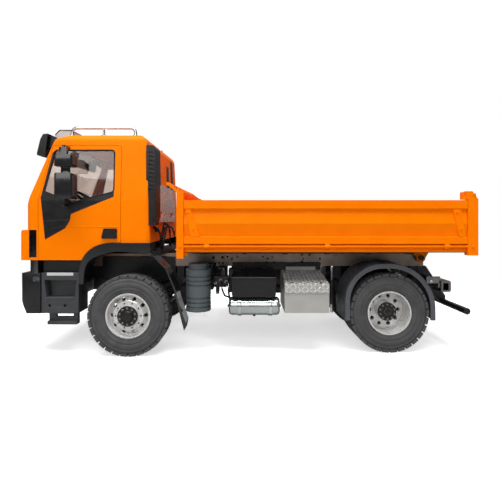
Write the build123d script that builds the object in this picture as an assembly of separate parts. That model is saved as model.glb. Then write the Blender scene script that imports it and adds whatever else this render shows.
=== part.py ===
from build123d import *
from math import atan2, degrees, hypot
import os

os.makedirs("parts", exist_ok=True)

# A 1:14 model of a two-axle tipper truck. Millimetres; +X forward, +Y left, +Z up.
# The origin is on the ground, below the middle of the model.

# Clearances
running = 0.05        # radial play of a pin or shaft in its bore
seam = 0.4            # gap round a door, a drop side and the tailgate
rest_gap = 0.3        # gap between a moving piece and what it rests on
glass_fit = 0.05      # gap round a pane in its opening

# Wheels and axles
tyre_radius = 42.5
front_axle_x = 125.0
wheelbase = 277.0
rear_axle_x = front_axle_x - wheelbase
axle_z = tyre_radius
front_tyre_width = 23.0
front_tyre_outer_y = 89.5
rear_tyre_width = 20.6
rear_tyre_outer_y = 77.0
twin_gap = 1.8
rim_radius = 23.5
rim_wall = 1.6
tyre_fit = 0.05
lug_count = 30
lug_depth = 2.2
spindle_radius = 4.0
hub_radius = 10.5
rear_hub_radius = 9.9
hand_hole_ring_radius = 17.6
hand_hole_count = 10
axle_tube_radius = 6.0

# Steering
kingpin_y = 62.0
kingpin_radius = 2.0
ear_inner = 10.2      # half of the space between a yoke's ears
ear_thickness = 3.6
arm_back = 16.0       # steering arm's end, behind the kingpin
arm_in = 5.0          # and inboard of it
track_rod_radius = 1.6

# Frame
rail_y = 30.0         # outer face of a rail
rail_sheet = 2.0
rail_flange = 8.0
rail_z = 87.7
rail_top_z = 102.6
rail_rear_x = -209.0

# Cab
cab_half = 82.0
cab_roof_half = 77.0
cab_wall = 3.0
cab_rear_x = 103.5    # at the skirt
cab_rear_top_x = 108.0
cab_front_x = 235.5
panel_bulge = 5.9     # the front panel's face, ahead of the cab's
bumper_ahead = 5.5
bumper_depth = 21.6
rail_front_x = cab_front_x + bumper_ahead - bumper_depth
skirt_z = 100.0
cab_floor_z = 119.0
sill_z = 163.0
roof_z = 234.5
arch_x = 130.0
door_rear_x = 134.4
door_front_x = 222.0
door_top_z = 222.0
flare_out = 2.5       # how far the flare stands out from the cab's side
guard_inner_y = cab_half - 19.0
guard_sheet = 1.5

# Tipper body
bed_half = 92.0
bed_front_x = 66.5
post_length = 7.4
bed_rear_x = -227.0
rear_post_length = 10.6
floor_z = 109.0
floor_top_z = 112.0
board_thickness = 4.0
floor_half = bed_half - board_thickness
board_top_z = 163.0
board_rail_z = 117.8
post_top_z = 167.8
rear_post_top_z = 172.2
board_hinge_y = bed_half - 1.5
board_hinge_z = 115.0
board_rod_radius = 1.3
tilt_x = -204.0
tilt_z = 98.0
tilt_pin_radius = 3.0

# Hoist: its pivot on the frame and its eye on the tipper body, at rest
hoist_x = -160.0
hoist_z = 76.0
eye_x = -70.0
eye_z = 101.0
barrel_radius = 6.5
barrel_length = 82.0
hoist_rod_radius = 3.5


# Building helpers
def slab(x0, x1, y0, y1, z0, z1):
    middle = Pos((x0 + x1) / 2, (y0 + y1) / 2, (z0 + z1) / 2)
    return middle * Box(x1 - x0, y1 - y0, z1 - z0)


def polygon(points):
    """A filled polygon whose points may run either way round."""
    turn = sum(a[0] * b[1] - b[0] * a[1] for a, b in zip(points, points[1:] + points[:1]))
    return Polygon(*(points if turn > 0 else points[::-1]), align=None)


def outline(points, rounds=()):
    """A closed outline. rounds holds (x, y, radius) for the corners that are rounded."""
    sketch = polygon(points)
    for x, y, radius in rounds:
        corner = min(sketch.vertices(), key=lambda v: hypot(v.X - x, v.Y - y))
        sketch = fillet(corner, radius)
    return sketch


def from_side(sketch, y0, y1):
    """Extrudes an outline drawn in X and Z from y0 to y1."""
    plane = Plane(origin=(0, y1, 0), x_dir=(1, 0, 0), z_dir=(0, -1, 0))
    return extrude(plane * sketch, amount=y1 - y0)


def from_front(sketch, x0, x1):
    """Extrudes an outline drawn in Y and Z from x0 to x1."""
    plane = Plane(origin=(x0, 0, 0), x_dir=(0, 1, 0), z_dir=(1, 0, 0))
    return extrude(plane * sketch, amount=x1 - x0)


def from_above(sketch, z0, z1):
    """Extrudes an outline drawn in X and Y from z0 to z1."""
    return extrude(Pos(0, 0, z0) * sketch, amount=z1 - z0)


def rod(start, end, radius):
    """A round bar between two points."""
    a, b = Vector(*start), Vector(*end)
    plane = Plane(origin=a, z_dir=(b - a).normalized())
    return extrude(plane * Circle(radius), amount=(b - a).length)


def across(x, z, radius, y0, y1):
    """A round bar along Y."""
    return from_side(Pos(x, z) * Circle(radius), y0, y1)


def other_side(shape):
    return mirror(shape, about=Plane.XZ)


def both_sides(shape):
    return shape + other_side(shape)


def turned(points):
    """Turns an outline of (radius, y) points about the Y axis."""
    return Rot(-90, 0, 0) * revolve(Plane.XZ * polygon(points), Axis.Z)


nodes = {}


# Frame rails: channels with their flanges inwards and rows of holes in the web
rail_profile = polygon([
    (rail_y, rail_z), (rail_y, rail_top_z), (rail_y - rail_flange, rail_top_z),
    (rail_y - rail_flange, rail_top_z - rail_sheet), (rail_y - rail_sheet, rail_top_z - rail_sheet),
    (rail_y - rail_sheet, rail_z + rail_sheet), (rail_y - rail_flange, rail_z + rail_sheet),
    (rail_y - rail_flange, rail_z)])
rail = from_front(rail_profile, rail_rear_x, rail_front_x)
# Holes in the web: x, height above the rail's lower face, radius
rail_holes = [
    (40.9, 10.1, 1.5), (30.2, 10.1, 1.5), (40.9, 3.6, 1.1), (34.4, 3.6, 1.1), (29.6, 3.6, 1.1),
    (24.2, 11.2, 1.1), (18.9, 8.8, 1.5), (12.3, 11.2, 1.1), (-18.1, 11.2, 1.1), (-24.0, 8.8, 1.5),
    (-29.4, 11.2, 1.1), (-22.1, 4.4, 1.1), (-31.2, 4.4, 1.1), (-66.0, 8.8, 1.3), (-86.0, 8.8, 1.3)]
for x, height, radius in rail_holes:
    rail -= across(x, rail_z + height, radius, rail_y - 2 * rail_sheet, rail_y + 1)
nodes["frame_rails"] = both_sides(rail)

# Cross members, fitted between the rails' webs and flanges
member_half = 4.0
member_x = [205.0, 150.0, 80.0, -20.0, -190.0]
member_low_z = rail_z + rail_sheet
member_high_z = rail_top_z - rail_sheet
web_y = rail_y - rail_sheet
members = None
for x in member_x:
    piece = slab(x - member_half, x + member_half, -web_y, web_y, member_low_z, member_high_z)
    piece -= slab(x - member_half + rail_sheet, x + member_half + 1, -web_y + 4, web_y - 4,
                  member_low_z + rail_sheet, member_high_z - rail_sheet)
    members = piece if members is None else members + piece

# Cab mounts between the rails and the cab floor, and the carrier of the bumper
mount_block = slab(0, 14, rail_y - rail_flange, rail_y, rail_top_z, cab_floor_z)
for x in (112.0, 196.0):
    members += both_sides(Pos(x, 0, 0) * mount_block)
bumper_carrier = slab(rail_front_x - 10, rail_front_x, rail_y, rail_y + 16, 62, rail_top_z - 5)
members += both_sides(bumper_carrier)

# Drive motor and gearbox, plain blocks between cross members
motor = slab(member_x[1] + member_half, member_x[0] - member_half, -17, 17, 72, 98)
gearbox = slab(26, member_x[2] - member_half, -15, 15, 60, 97)
nodes["motor_and_gearbox"] = motor + gearbox

# Leaf springs with their hangers under the rails
spring_half = 45.0
spring_drop = 18.0
spring_thickness = 5.0
spring_low_z = 55.5


def leaf_spring(axle_x):
    low = spring_low_z
    outer = ThreePointArc((-spring_half, low + spring_drop), (0, low), (spring_half, low + spring_drop))
    inner = ThreePointArc((-spring_half, low + spring_drop + spring_thickness),
                          (0, low + spring_thickness), (spring_half, low + spring_drop + spring_thickness))
    ends = [Line(outer @ 1, inner @ 1), Line(inner @ 0, outer @ 0)]
    leaf = make_face(Curve() + [outer, ends[0], inner, ends[1]])
    spring = from_side(leaf, rail_y - 7, rail_y)
    for side in (-1, 1):
        x = side * spring_half
        spring += slab(x - 4, x + 4, rail_y - 7, rail_y, low + spring_drop, rail_z)
    return Pos(axle_x, 0, 0) * spring


front_spring = leaf_spring(front_axle_x)
rear_spring = leaf_spring(rear_axle_x)
springs = both_sides(front_spring + rear_spring)
nodes["leaf_springs"] = springs

# Front axle: tube, differential, spring pads and the yokes that carry the knuckles
front_diff_radius = 12.5
yoke_web_y = 48.0
ear_end_y = kingpin_y + 4.5
ear_half = 4.5
ear_out = ear_inner + ear_thickness
front_axle = across(0, 0, axle_tube_radius, -yoke_web_y, yoke_web_y)
front_axle += Sphere(front_diff_radius)
pad = slab(-6, 6, rail_y - 7.5, rail_y + 0.5, 0, spring_low_z - axle_z + 2)
yoke = slab(-ear_half, ear_half, yoke_web_y, yoke_web_y + 5, -ear_out, ear_out)
for sign in (-1, 1):
    z0, z1 = sorted((sign * ear_inner, sign * ear_out))
    ear = slab(-ear_half, ear_half, yoke_web_y, kingpin_y, z0, z1)
    ear += Pos(0, kingpin_y, (z0 + z1) / 2) * Cylinder(ear_half, z1 - z0)
    ear -= Pos(0, kingpin_y, (z0 + z1) / 2) * Cylinder(kingpin_radius + running, 2 * ear_thickness)
    yoke += ear
front_axle += both_sides(pad + yoke)
front_axle = Pos(front_axle_x, 0, axle_z) * front_axle - springs
nodes["front_axle"] = front_axle

# Rear axle with its spindles
rear_diff_radius = 14.0
rear_inner_y = rear_tyre_outer_y - 2 * rear_tyre_width - twin_gap
rear_spindle_end = 63.0
rear_axle = across(0, 0, axle_tube_radius, -rear_inner_y + 1, rear_inner_y - 1)
rear_axle += across(0, 0, spindle_radius, -rear_spindle_end, rear_spindle_end)
rear_axle += Sphere(rear_diff_radius)
rear_axle += both_sides(pad)
rear_axle = Pos(rear_axle_x, 0, axle_z) * rear_axle - springs
nodes["rear_axle"] = rear_axle

# Propeller shafts from the gearbox to the differentials
shaft_radius = 2.6
rear_shaft = rod((30, 0, 66), (rear_axle_x, 0, axle_z + 2), shaft_radius) - gearbox - rear_axle
front_shaft = rod((70, 0, 64), (front_axle_x, 0, axle_z + 2), shaft_radius) - gearbox - front_axle
nodes["propeller_shafts"] = rear_shaft + front_shaft

# Knuckles, left one first: block on two kingpin stubs, spindle and steering arm
knuckle_half = ear_inner - rest_gap
front_inner_y = front_tyre_outer_y - front_tyre_width
front_spindle_end = 83.0
arm_z = -4.6
arm_thickness = 3.0
knuckle = Pos(0, kingpin_y, 0) * Cylinder(4.6, 2 * knuckle_half)
knuckle += Pos(0, kingpin_y, 0) * Cylinder(kingpin_radius, 2 * ear_out)
knuckle += across(0, 0, spindle_radius, kingpin_y, front_spindle_end)
arm_ends = Sketch() + [Pos(0, kingpin_y) * Circle(3.4), Pos(-arm_back, kingpin_y - arm_in) * Circle(2.8)]
arm_outline = make_hull(arm_ends.edges())
knuckle += from_above(arm_outline, arm_z, arm_z + arm_thickness)
knuckle = Pos(front_axle_x, 0, axle_z) * knuckle
nodes["knuckle_left"] = knuckle
nodes["knuckle_right"] = other_side(knuckle)

# Track rod, lying on the steering arms' ends
rod_z = axle_z + arm_z + arm_thickness + rest_gap + 0.4
arm_end_y = kingpin_y - arm_in
arm_end_x = front_axle_x - arm_back
track_rod = rod((arm_end_x, -arm_end_y, rod_z + track_rod_radius),
                (arm_end_x, arm_end_y, rod_z + track_rod_radius), track_rod_radius)
track_rod_end = Pos(arm_end_x, arm_end_y, rod_z + track_rod_radius) * Cylinder(2.8, 2 * track_rod_radius + 0.8)
nodes["track_rod"] = track_rod + both_sides(track_rod_end)


# Tyres: shouldered section, with lugs left between notches in both shoulders
def tyre(y0, width):
    y1 = y0 + width
    bore = rim_radius + tyre_fit
    shoulder = tyre_radius - lug_depth - 1.5
    body = turned([
        (bore, y0 + 1.6), (30.0, y0 + 0.2), (36.0, y0), (shoulder, y0 + 0.8), (tyre_radius, y0 + 2.6),
        (tyre_radius, y1 - 2.6), (shoulder, y1 - 0.8), (36.0, y1), (30.0, y1 - 0.2), (bore, y1 - 1.6)])
    notch_width = 3.0
    notch = Box(notch_width, width * 0.26, 2 * lug_depth)
    step = 360 / lug_count
    cuts = []
    for i in range(lug_count):
        angle = i * step
        cuts.append(Rot(0, angle, 0) * Pos(0, y0 + width * 0.1, tyre_radius) * notch)
        cuts.append(Rot(0, angle + step / 2, 0) * Pos(0, y1 - width * 0.1, tyre_radius) * notch)
    return body - cuts


# Front rims: shallow dish, hub and hand holes; the bore takes the knuckle's spindle
def front_rim():
    y0, y1 = front_inner_y + 1.8, front_tyre_outer_y - 1.2
    inner = rim_radius - rim_wall
    bore = spindle_radius + running
    disc_y = y1 - 7.0
    rim = turned([
        (rim_radius, y0), (rim_radius, y1), (inner, y1), (inner, disc_y + 1.0), (19.8, disc_y + 1.2),
        (15.4, y1 - 1.6), (hub_radius, y1 - 1.6), (hub_radius, y1 + 1.0), (5.7, y1 + 1.0), (4.2, y1 + 3.2),
        (0, y1 + 3.2), (0, front_spindle_end + rest_gap),
        (bore, front_spindle_end + rest_gap), (bore, kingpin_y + 7.0), (6.4, kingpin_y + 7.0), (6.4, y1 - 5.2),
        (14.2, y1 - 5.2), (inner, disc_y - 2.2), (inner, y0)])
    hole = across(hand_hole_ring_radius, 0, 2.0, disc_y - 4, y1 + 1)
    return rim - [Rot(0, i * 360 / hand_hole_count, 0) * hole for i in range(hand_hole_count)]


# Twin rear rims: two barrels with deep discs, clamped at the middle
def rear_rims():
    outer_end = rear_tyre_outer_y - 1.0
    middle = rear_tyre_outer_y - rear_tyre_width - twin_gap / 2
    inner_end = rear_inner_y + 1.0
    inner = rim_radius - rim_wall
    bore = spindle_radius + running
    half = 2.2
    rims = turned([
        (rim_radius, middle + 1.0), (rim_radius, outer_end), (inner, outer_end), (inner, middle + 7.0),
        (inner - 1.4, middle + 5.0), (inner - 1.4, middle + half), (rear_hub_radius, middle + half),
        (rear_hub_radius, outer_end - 8.0), (3.7, outer_end - 8.0), (3.7, outer_end - 6.6), (0, outer_end - 6.6),
        (0, rear_spindle_end + rest_gap), (bore, rear_spindle_end + rest_gap), (bore, inner_end + 5.0),
        (7.0, inner_end + 5.0), (7.0, middle - half), (inner - 1.4, middle - half),
        (inner - 1.4, middle - 5.0), (inner, middle - 7.0), (inner, inner_end), (rim_radius, inner_end),
        (rim_radius, middle - 1.0), (inner - 0.2, middle - 1.0), (inner - 0.2, middle + 1.0)])
    hole = across(hand_hole_ring_radius - 1.6, 0, 2.2, middle - 4, middle + 4)
    return rims - [Rot(0, i * 360 / hand_hole_count, 0) * hole for i in range(hand_hole_count)]


front_wheel_place = Pos(front_axle_x, 0, axle_z)
rear_wheel_place = Pos(rear_axle_x, 0, axle_z)
front_tyre = front_wheel_place * tyre(front_inner_y, front_tyre_width)
rear_tyres = rear_wheel_place * tyre(rear_tyre_outer_y - rear_tyre_width, rear_tyre_width)
rear_tyres += rear_wheel_place * tyre(rear_inner_y, rear_tyre_width)
front_rim_left = front_wheel_place * front_rim()
rear_rims_left = rear_wheel_place * rear_rims()
for name, shape in (("front_tyre", front_tyre), ("front_rim", front_rim_left),
                    ("rear_tyres", rear_tyres), ("rear_rims", rear_rims_left)):
    nodes[name + "_left"] = shape
    nodes[name + "_right"] = other_side(shape)

# Cab outlines: from the side, from the front and from above
cab_side = [(cab_rear_x, skirt_z), (cab_rear_top_x, roof_z), (190, roof_z), (206, 229),
            (cab_front_x - 3.5, 164), (cab_front_x, 156), (cab_front_x, skirt_z)]
cab_front = [(-cab_half, skirt_z), (-cab_half, sill_z), (-cab_roof_half, roof_z),
             (cab_roof_half, roof_z), (cab_half, sill_z), (cab_half, skirt_z)]
front_corner = 7.0
rear_corner = 6.0
roof_corner = 9.0
roof_rear_corner = 11.5


def cab_form(inset, low_z):
    """The cab's outer form, with every wall drawn in by inset, from low_z up."""
    side = outline([(x, z if z > skirt_z else low_z - inset) for x, z in cab_side],
                   [(cab_rear_top_x, roof_z, roof_rear_corner), (190, roof_z, 16), (206, 229, 5)])
    front = outline([(y, z if z > skirt_z else low_z - inset) for y, z in cab_front],
                    [(-cab_roof_half, roof_z, roof_corner), (cab_roof_half, roof_z, roof_corner)])
    plan = outline([(cab_rear_x, -cab_half), (cab_front_x, -cab_half), (cab_front_x, cab_half),
                    (cab_rear_x, cab_half)],
                   [(cab_front_x, -cab_half, front_corner), (cab_front_x, cab_half, front_corner),
                    (cab_rear_x, -cab_half, rear_corner), (cab_rear_x, cab_half, rear_corner)])
    if inset:
        side, front, plan = (offset(s, amount=-inset, kind=Kind.INTERSECTION) for s in (side, front, plan))
    body = from_side(side, -cab_half - 5, cab_half + 5)
    body &= from_front(front, cab_rear_x - 5, cab_front_x + 10)
    body &= from_above(plan, low_z - 5, roof_z + 5)
    return body


def door_band(outer, inner):
    """A layer of the cab's side wall, between two depths below its surface."""
    lean = [(cab_half, skirt_z - 10), (cab_half, sill_z), (cab_roof_half, roof_z)]
    layer = [(y - outer, z) for y, z in lean] + [(y - inner, z) for y, z in reversed(lean)]
    return from_front(polygon(layer), cab_rear_x, cab_front_x)


# Doorway, window and black trim outlines in the side wall
doorway = outline([(door_rear_x, skirt_z - 5), (door_rear_x, door_top_z), (208, door_top_z),
                   (door_front_x, sill_z), (door_front_x, skirt_z - 5)],
                  [(door_rear_x, door_top_z, 4.0)])
door_window = outline([(142, 172.5), (142, 217), (205.4, 217), (215.8, 173), (186, 161)],
                      [(142, 172.5, 2.5), (142, 217, 3.0), (205.4, 217, 2.0)])
door_trim = outline([(142, 167.0), (187, 148.8), (188.1, 142.5), (192.7, 134), (214.5, 121.7), (218.5, 160),
                     (219.3, 166), (208.3, 214), (205.4, 217), (215.8, 173), (186, 161), (142, 172.5)])

# Flare round the wheel arch: its outer edge, which also cuts the cab's side, and its inner edge
flare_low_z = 75.0
flare_outer = [(178.4, flare_low_z), (177.4, 90), (175.0, 100), (170.6, 107), (165, 112), (156, 116.2), (144, 118.3),
               (cab_rear_x - 0.5, 118.3)]
flare_inner = [(173.0, flare_low_z), (172.0, 88), (168, 98.4), (162.5, 102.8), (155.4, 105.7), (145, 108.6),
               (135.5, 109.4), (cab_rear_x - 0.5, 107.3)]


def smooth(points, straight_to):
    """A spline through the points, ending in a straight line to the last one."""
    curve = Spline(*points[:-1])
    return [curve, Line(curve @ 1, straight_to)]


outer_edge = smooth(flare_outer, flare_outer[-1])
inner_edge = smooth(flare_inner, flare_inner[-1])
arch_sides = [Line(flare_outer[-1], (cab_rear_x - 20, flare_outer[-1][1])),
              Line((cab_rear_x - 20, flare_outer[-1][1]), (cab_rear_x - 20, flare_low_z)),
              Line((cab_rear_x - 20, flare_low_z), flare_outer[0])]
arch_cut = make_face(Curve() + outer_edge + arch_sides)
arch_prism = from_side(arch_cut, -cab_half - 10, cab_half + 10)

cab_outer = cab_form(0, skirt_z)
cab_inner = cab_form(cab_wall, skirt_z - 20)
cab_shell = cab_outer - cab_inner
cab_shell += cab_outer & slab(cab_rear_x, cab_front_x, -cab_half, cab_half, cab_floor_z, cab_floor_z + cab_wall)
cab_shell -= arch_prism
side_wall = both_sides(door_band(-2, cab_wall + 0.4) & from_side(doorway, 0, cab_half + 5))
cab_shell -= side_wall

screen_low, screen_high = cab_half - 12.0, cab_roof_half - 12.0
screen_z0, screen_z1 = 168.5, 226.0
windscreen_hole = outline([(-screen_low, screen_z0), (-screen_high, screen_z1), (screen_high, screen_z1), (screen_low, screen_z0)],
                          [(-screen_low, screen_z0, 5), (-screen_high, screen_z1, 5), (screen_high, screen_z1, 5),
                           (screen_low, screen_z0, 5)])
cab_shell -= from_front(windscreen_hole, 196, cab_front_x + 10)
pane_depth, pane_back = 0.8, 2.2
pane = offset(windscreen_hole, amount=-glass_fit, kind=Kind.INTERSECTION)
windscreen = cab_form(pane_depth, skirt_z) - cab_form(pane_back, skirt_z - 20)
nodes["windscreen"] = windscreen & from_front(pane, 196, cab_front_x + 10)

# Headlights wrap round the lower front corners; the fog lamps sit in the bumper
fog_lamp_x = cab_front_x + bumper_ahead - 5
lamp_width = 16.0
lamp_region = slab(door_front_x + 1.5, cab_front_x + 1, cab_half - lamp_width, cab_half + 1, 103, 132)
lamp_layer = cab_outer - cab_inner
fog_y0, fog_y1 = cab_half - 32.0, cab_half - 12.0
fog_z0, fog_z1 = 66.0, 80.0
fog_lamp = slab(fog_lamp_x, fog_lamp_x + 4, fog_y0, fog_y1, fog_z0, fog_z1)
nodes["headlights"] = both_sides((lamp_layer & lamp_region) + fog_lamp)
cab_shell -= both_sides(lamp_region)
nodes["cab_shell"] = cab_shell

# Doors: slab of the side wall inside its seam, cut for the window and the trim inlay
inlay = 0.8
opening = from_side(door_window, 0, cab_half + 5)
trim_region = from_side(door_trim, 0, cab_half + 5) - opening
door = door_band(0, cab_wall) & from_side(offset(doorway, amount=-seam, kind=Kind.INTERSECTION), 0, cab_half + 5)
door &= slab(cab_rear_x, cab_front_x, 0, cab_half, skirt_z, roof_z)
door -= from_side(Pos(seam, seam) * arch_cut, 0, cab_half + 5)
door -= opening
door -= trim_region & door_band(0, inlay)
handle_outline = outline([(138.4, 133.3), (152.2, 133.5), (154.8, 122.9), (138.4, 122.9)], [(154.8, 122.9, 1.5)])
handle = from_side(handle_outline, cab_half, cab_half + 1.8)
handle -= from_side(Pos(0, -2.0) * offset(handle_outline, amount=-2.4, kind=Kind.INTERSECTION), cab_half - 1, cab_half + 0.8)
door_trim_left = (trim_region & door_band(0, inlay)) + handle
door_glass_left = door_band(pane_depth, pane_back) & from_side(
    offset(door_window, amount=-glass_fit, kind=Kind.INTERSECTION), 0, cab_half + 5)

# Mirrors on the door: two housings on a bar, its arms ending on the door's face
mirror_x0, mirror_x1 = 178.0, 197.0
mirror_y0, mirror_y1 = cab_half + 4.0, cab_half + 18.0
mirror_bar = (191.0, cab_half + 8.0)
mirrors_left = rod((*mirror_bar, 158), (*mirror_bar, 219.5), 1.5)
for z in (158.0, 219.5):
    mirrors_left += rod((mirror_bar[0], cab_roof_half - 3, z), (*mirror_bar, z), 1.5)
    mirrors_left += Pos(*mirror_bar, z) * Sphere(1.5)
mirrors_left += slab(187, 195, mirror_bar[1] - 2, mirror_bar[1] + 2, 207, 218)
mirrors_left += slab(185, 193, mirror_bar[1] - 2, mirror_bar[1] + 2, 188, 199)
# Housings: low and high edge
for z0, z1 in ((164.0, 190.4), (197.0, 209.0)):
    housing = slab(mirror_x0, mirror_x1, mirror_y0, mirror_y1, z0, z1)
    mirrors_left += fillet(housing.edges().filter_by(Axis.Z) + housing.edges().filter_by(Axis.Y), 2.8)
mirrors_left -= cab_form(0, skirt_z)

for name, shape in (("door", door), ("door_trim", door_trim_left), ("door_glass", door_glass_left),
                    ("mirrors", mirrors_left)):
    nodes[name + "_left"] = shape
    nodes[name + "_right"] = other_side(shape)

# Front panel: the bulged lower front, wrapping round the corners, with the grille in its opening
panel_front_x = cab_front_x + panel_bulge
panel_wrap_x = cab_front_x - 4.0
panel_top_z = 132.0
grille_half = 46.0
grille_z0, grille_z1 = 104.0, 127.0
panel_side = outline([(panel_wrap_x, skirt_z), (panel_wrap_x, panel_top_z), (panel_front_x, panel_top_z),
                      (panel_front_x, skirt_z)], [(panel_front_x, panel_top_z, 4.5)])
panel_plan = outline([(panel_wrap_x, -cab_half), (panel_front_x, -cab_half), (panel_front_x, cab_half),
                      (panel_wrap_x, cab_half)],
                     [(panel_front_x, -cab_half, 4), (panel_front_x, cab_half, 4)])
panel = from_side(panel_side, -cab_half, cab_half) & from_above(panel_plan, skirt_z, panel_top_z)
panel -= cab_outer
panel -= slab(cab_front_x - 1, panel_front_x + 1, -grille_half, grille_half, grille_z0, grille_z1)
nodes["front_panel"] = panel
grille_depth = 4.6
slat_count = 6
grille = slab(cab_front_x, cab_front_x + grille_depth, -grille_half, grille_half, grille_z0, grille_z1)
slat_pitch = (grille_z1 - grille_z0) / slat_count
for i in range(slat_count):
    z = grille_z0 + (i + 0.5) * slat_pitch
    grille -= slab(cab_front_x + 1.2, panel_front_x, -grille_half + 2, grille_half - 2,
                   z - slat_pitch * 0.28, z + slat_pitch * 0.28)
nodes["grille"] = grille

# Bumper, with the fillers that close the space below the cab's corners
bumper_z0, bumper_z1 = 43.7, 86.5
bumper_front_x = cab_front_x + bumper_ahead
bumper_rear_x = bumper_front_x - bumper_depth
bumper_side = outline([(bumper_rear_x, bumper_z0), (bumper_rear_x, bumper_z1), (bumper_front_x, bumper_z1),
                       (bumper_front_x, 60), (bumper_front_x - 7, bumper_z0)],
                      [(bumper_front_x, bumper_z1, 2), (bumper_front_x, 60, 8)])
bumper_plan = outline([(bumper_rear_x, -cab_half), (bumper_front_x, -cab_half), (bumper_front_x, cab_half),
                       (bumper_rear_x, cab_half)],
                      [(bumper_front_x, -cab_half, 5), (bumper_front_x, cab_half, 5)])
bumper = from_side(bumper_side, -cab_half, cab_half) & from_above(bumper_plan, bumper_z0 - 1, bumper_z1 + 1)
bumper -= slab(bumper_front_x - 7, bumper_front_x + 1, -40, 40, 54, 66)
bumper -= both_sides(slab(fog_lamp_x, bumper_front_x + 1, fog_y0, fog_y1, fog_z0, fog_z1))
bumper += both_sides(slab(door_front_x + 0.6, cab_front_x - 5, cab_half - 20, cab_half - 1, bumper_z1, skirt_z))
nodes["bumper"] = bumper

# Front fenders: a sheet over the wheel down to the flap, with the flare outside
flare_y = cab_half + flare_out
flare_face = make_face(Curve() + outer_edge + [Line(flare_outer[-1], flare_inner[-1])] + inner_edge
                       + [Line(flare_inner[0], flare_outer[0])])
fender = from_side(flare_face, cab_half - cab_wall, flare_y)
over_wheel = make_face(Curve() + inner_edge + [
    Line(flare_inner[-1], (flare_inner[-1][0], flare_inner[-1][1] + guard_sheet)),
    Line((flare_inner[-1][0], flare_inner[-1][1] + guard_sheet), (arch_x, 109.4 + guard_sheet)),
    Line((arch_x, 109.4 + guard_sheet), (146, 108.4 + guard_sheet)),
    Line((146, 108.4 + guard_sheet), (164, 104.0)), Line((164, 104.0), (171, 97.5)),
    Line((171, 97.5), (flare_inner[0][0] + guard_sheet, flare_low_z)),
    Line((flare_inner[0][0] + guard_sheet, flare_low_z), flare_inner[0])])
fender += from_side(over_wheel, guard_inner_y, cab_half)
# Rear part of the sheet, from the arch down to the flap
behind_wheel = outline([(cab_rear_x - 0.5, 107.3), (cab_rear_x - 0.5, 108.8), (91.4, 97.8), (85.7, 91.8), (80.6, 80.1),
                        (76.2, 69.5), (74.0, 59.5), (65.5, 34), (67.2, 26), (75.6, 58.5), (77.7, 69), (82, 79.5),
                        (87, 91), (92.4, 96.3)])
fender += from_side(behind_wheel, guard_inner_y, flare_y)
nodes["front_fenders"] = both_sides(fender)

# Door steps: a box with a recess, an arm to the rail and a hanging lower step
step_x0, step_x1 = 179.0, 218.2
step_y0, step_y1 = cab_half - 24.0, cab_half
step_z0, step_z1 = 44.0, 86.7
steps = slab(step_x0, step_x1, step_y0, step_y1, step_z0, step_z1)
step_recess = outline([(step_x0 + 4, 61), (step_x1 - 5, 61), (step_x1 - 3, 79), (step_x0 + 2, 79)])
steps -= from_side(step_recess, step_y1 - 12, step_y1 + 1)
for x in (193.4, 209.7):
    steps -= across(x, 52, 1.5, step_y1 - 4, step_y1 + 1)
hanger = slab(181, 212, step_y1 - 8, step_y1 - 4, 32, step_z0)
hanger -= slab(186, 204.5, step_y1 - 9, step_y1 + 1, 39.4, 42.6)
steps += hanger + slab(181, 212, step_y1 - 8, step_y1, 32, 35.5)
steps += slab(190, 206, rail_y, step_y0, 80, step_z1) + slab(190, 206, rail_y, rail_y + 6, step_z1, rail_z + 6)
nodes["door_steps"] = both_sides(steps)

# Seats, dashboard and steering wheel
seat_back = outline([(128, 124), (128, 178), (132, 198), (138, 198), (139, 178), (141, 142), (170, 144), (173, 136),
                     (170, 124)], [(132, 198, 2.5), (138, 198, 2.5), (173, 136, 3)])
seat = from_side(seat_back, 20, 58) + slab(132, 168, 25, 53, cab_floor_z + cab_wall, 124)
nodes["seats"] = both_sides(seat)
dash_outline = outline([(199, 122), (196, 148), (203, 163), (222, 161), (226, 154), (226, 122)],
                       [(203, 163, 3.0), (196, 148, 3.0)])
dashboard = from_side(dash_outline, 8 - cab_half, cab_half - 8)
dashboard += both_sides(slab(204, 222, 30, 48, cab_floor_z + cab_wall, 123))
wheel_plane = Plane(origin=(188, 39, 167), z_dir=(-0.55, 0, 0.835))
steering = wheel_plane * Torus(15, 1.5)
for angle in (90, 210, 330):
    steering += wheel_plane * (Rot(0, 0, angle) * Pos(7.5, 0, 0) * Box(15, 2.6, 1.6))
steering += wheel_plane * Cylinder(3.6, 3)
steering += rod((188, 39, 167), (188 + 0.55 * 24, 39, 167 - 0.835 * 24), 2.2) - dashboard
nodes["dashboard"] = dashboard + steering

# Sun visor above the windscreen: a bent sheet with closed ends, on four brackets
visor_half = cab_half - 12.0
visor_outline = outline([(217.8, 236.6), (223, 236.1), (226, 230.6), (229.7, 215.4), (229.5, 213.2), (223, 211),
                         (220.8, 213.2)])
visor = from_side(visor_outline, -visor_half, visor_half)
visor -= from_side(Pos(-1.6, -1.0) * visor_outline, 1.4 - visor_half, visor_half - 1.4)
bracket = outline([(203, 227), (212, 234), (224, 234), (226, 226), (214, 219), (210, 215)])
for y in (visor_half - 6.0, 24.0):
    visor += both_sides(from_side(bracket, y - 1.5, y + 1.5))
nodes["sun_visor"] = visor - cab_outer

# Light box on the roof's front edge
light_outline = outline([(194.8, 231), (195.2, 241.6), (208, 241.6), (213, 236.4), (213, 232), (204, 228)],
                        [(208, 241.6, 3)])
light_half = cab_roof_half - 14.0
nodes["roof_light_box"] = from_side(light_outline, -light_half, light_half) - cab_outer - nodes["sun_visor"]

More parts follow.
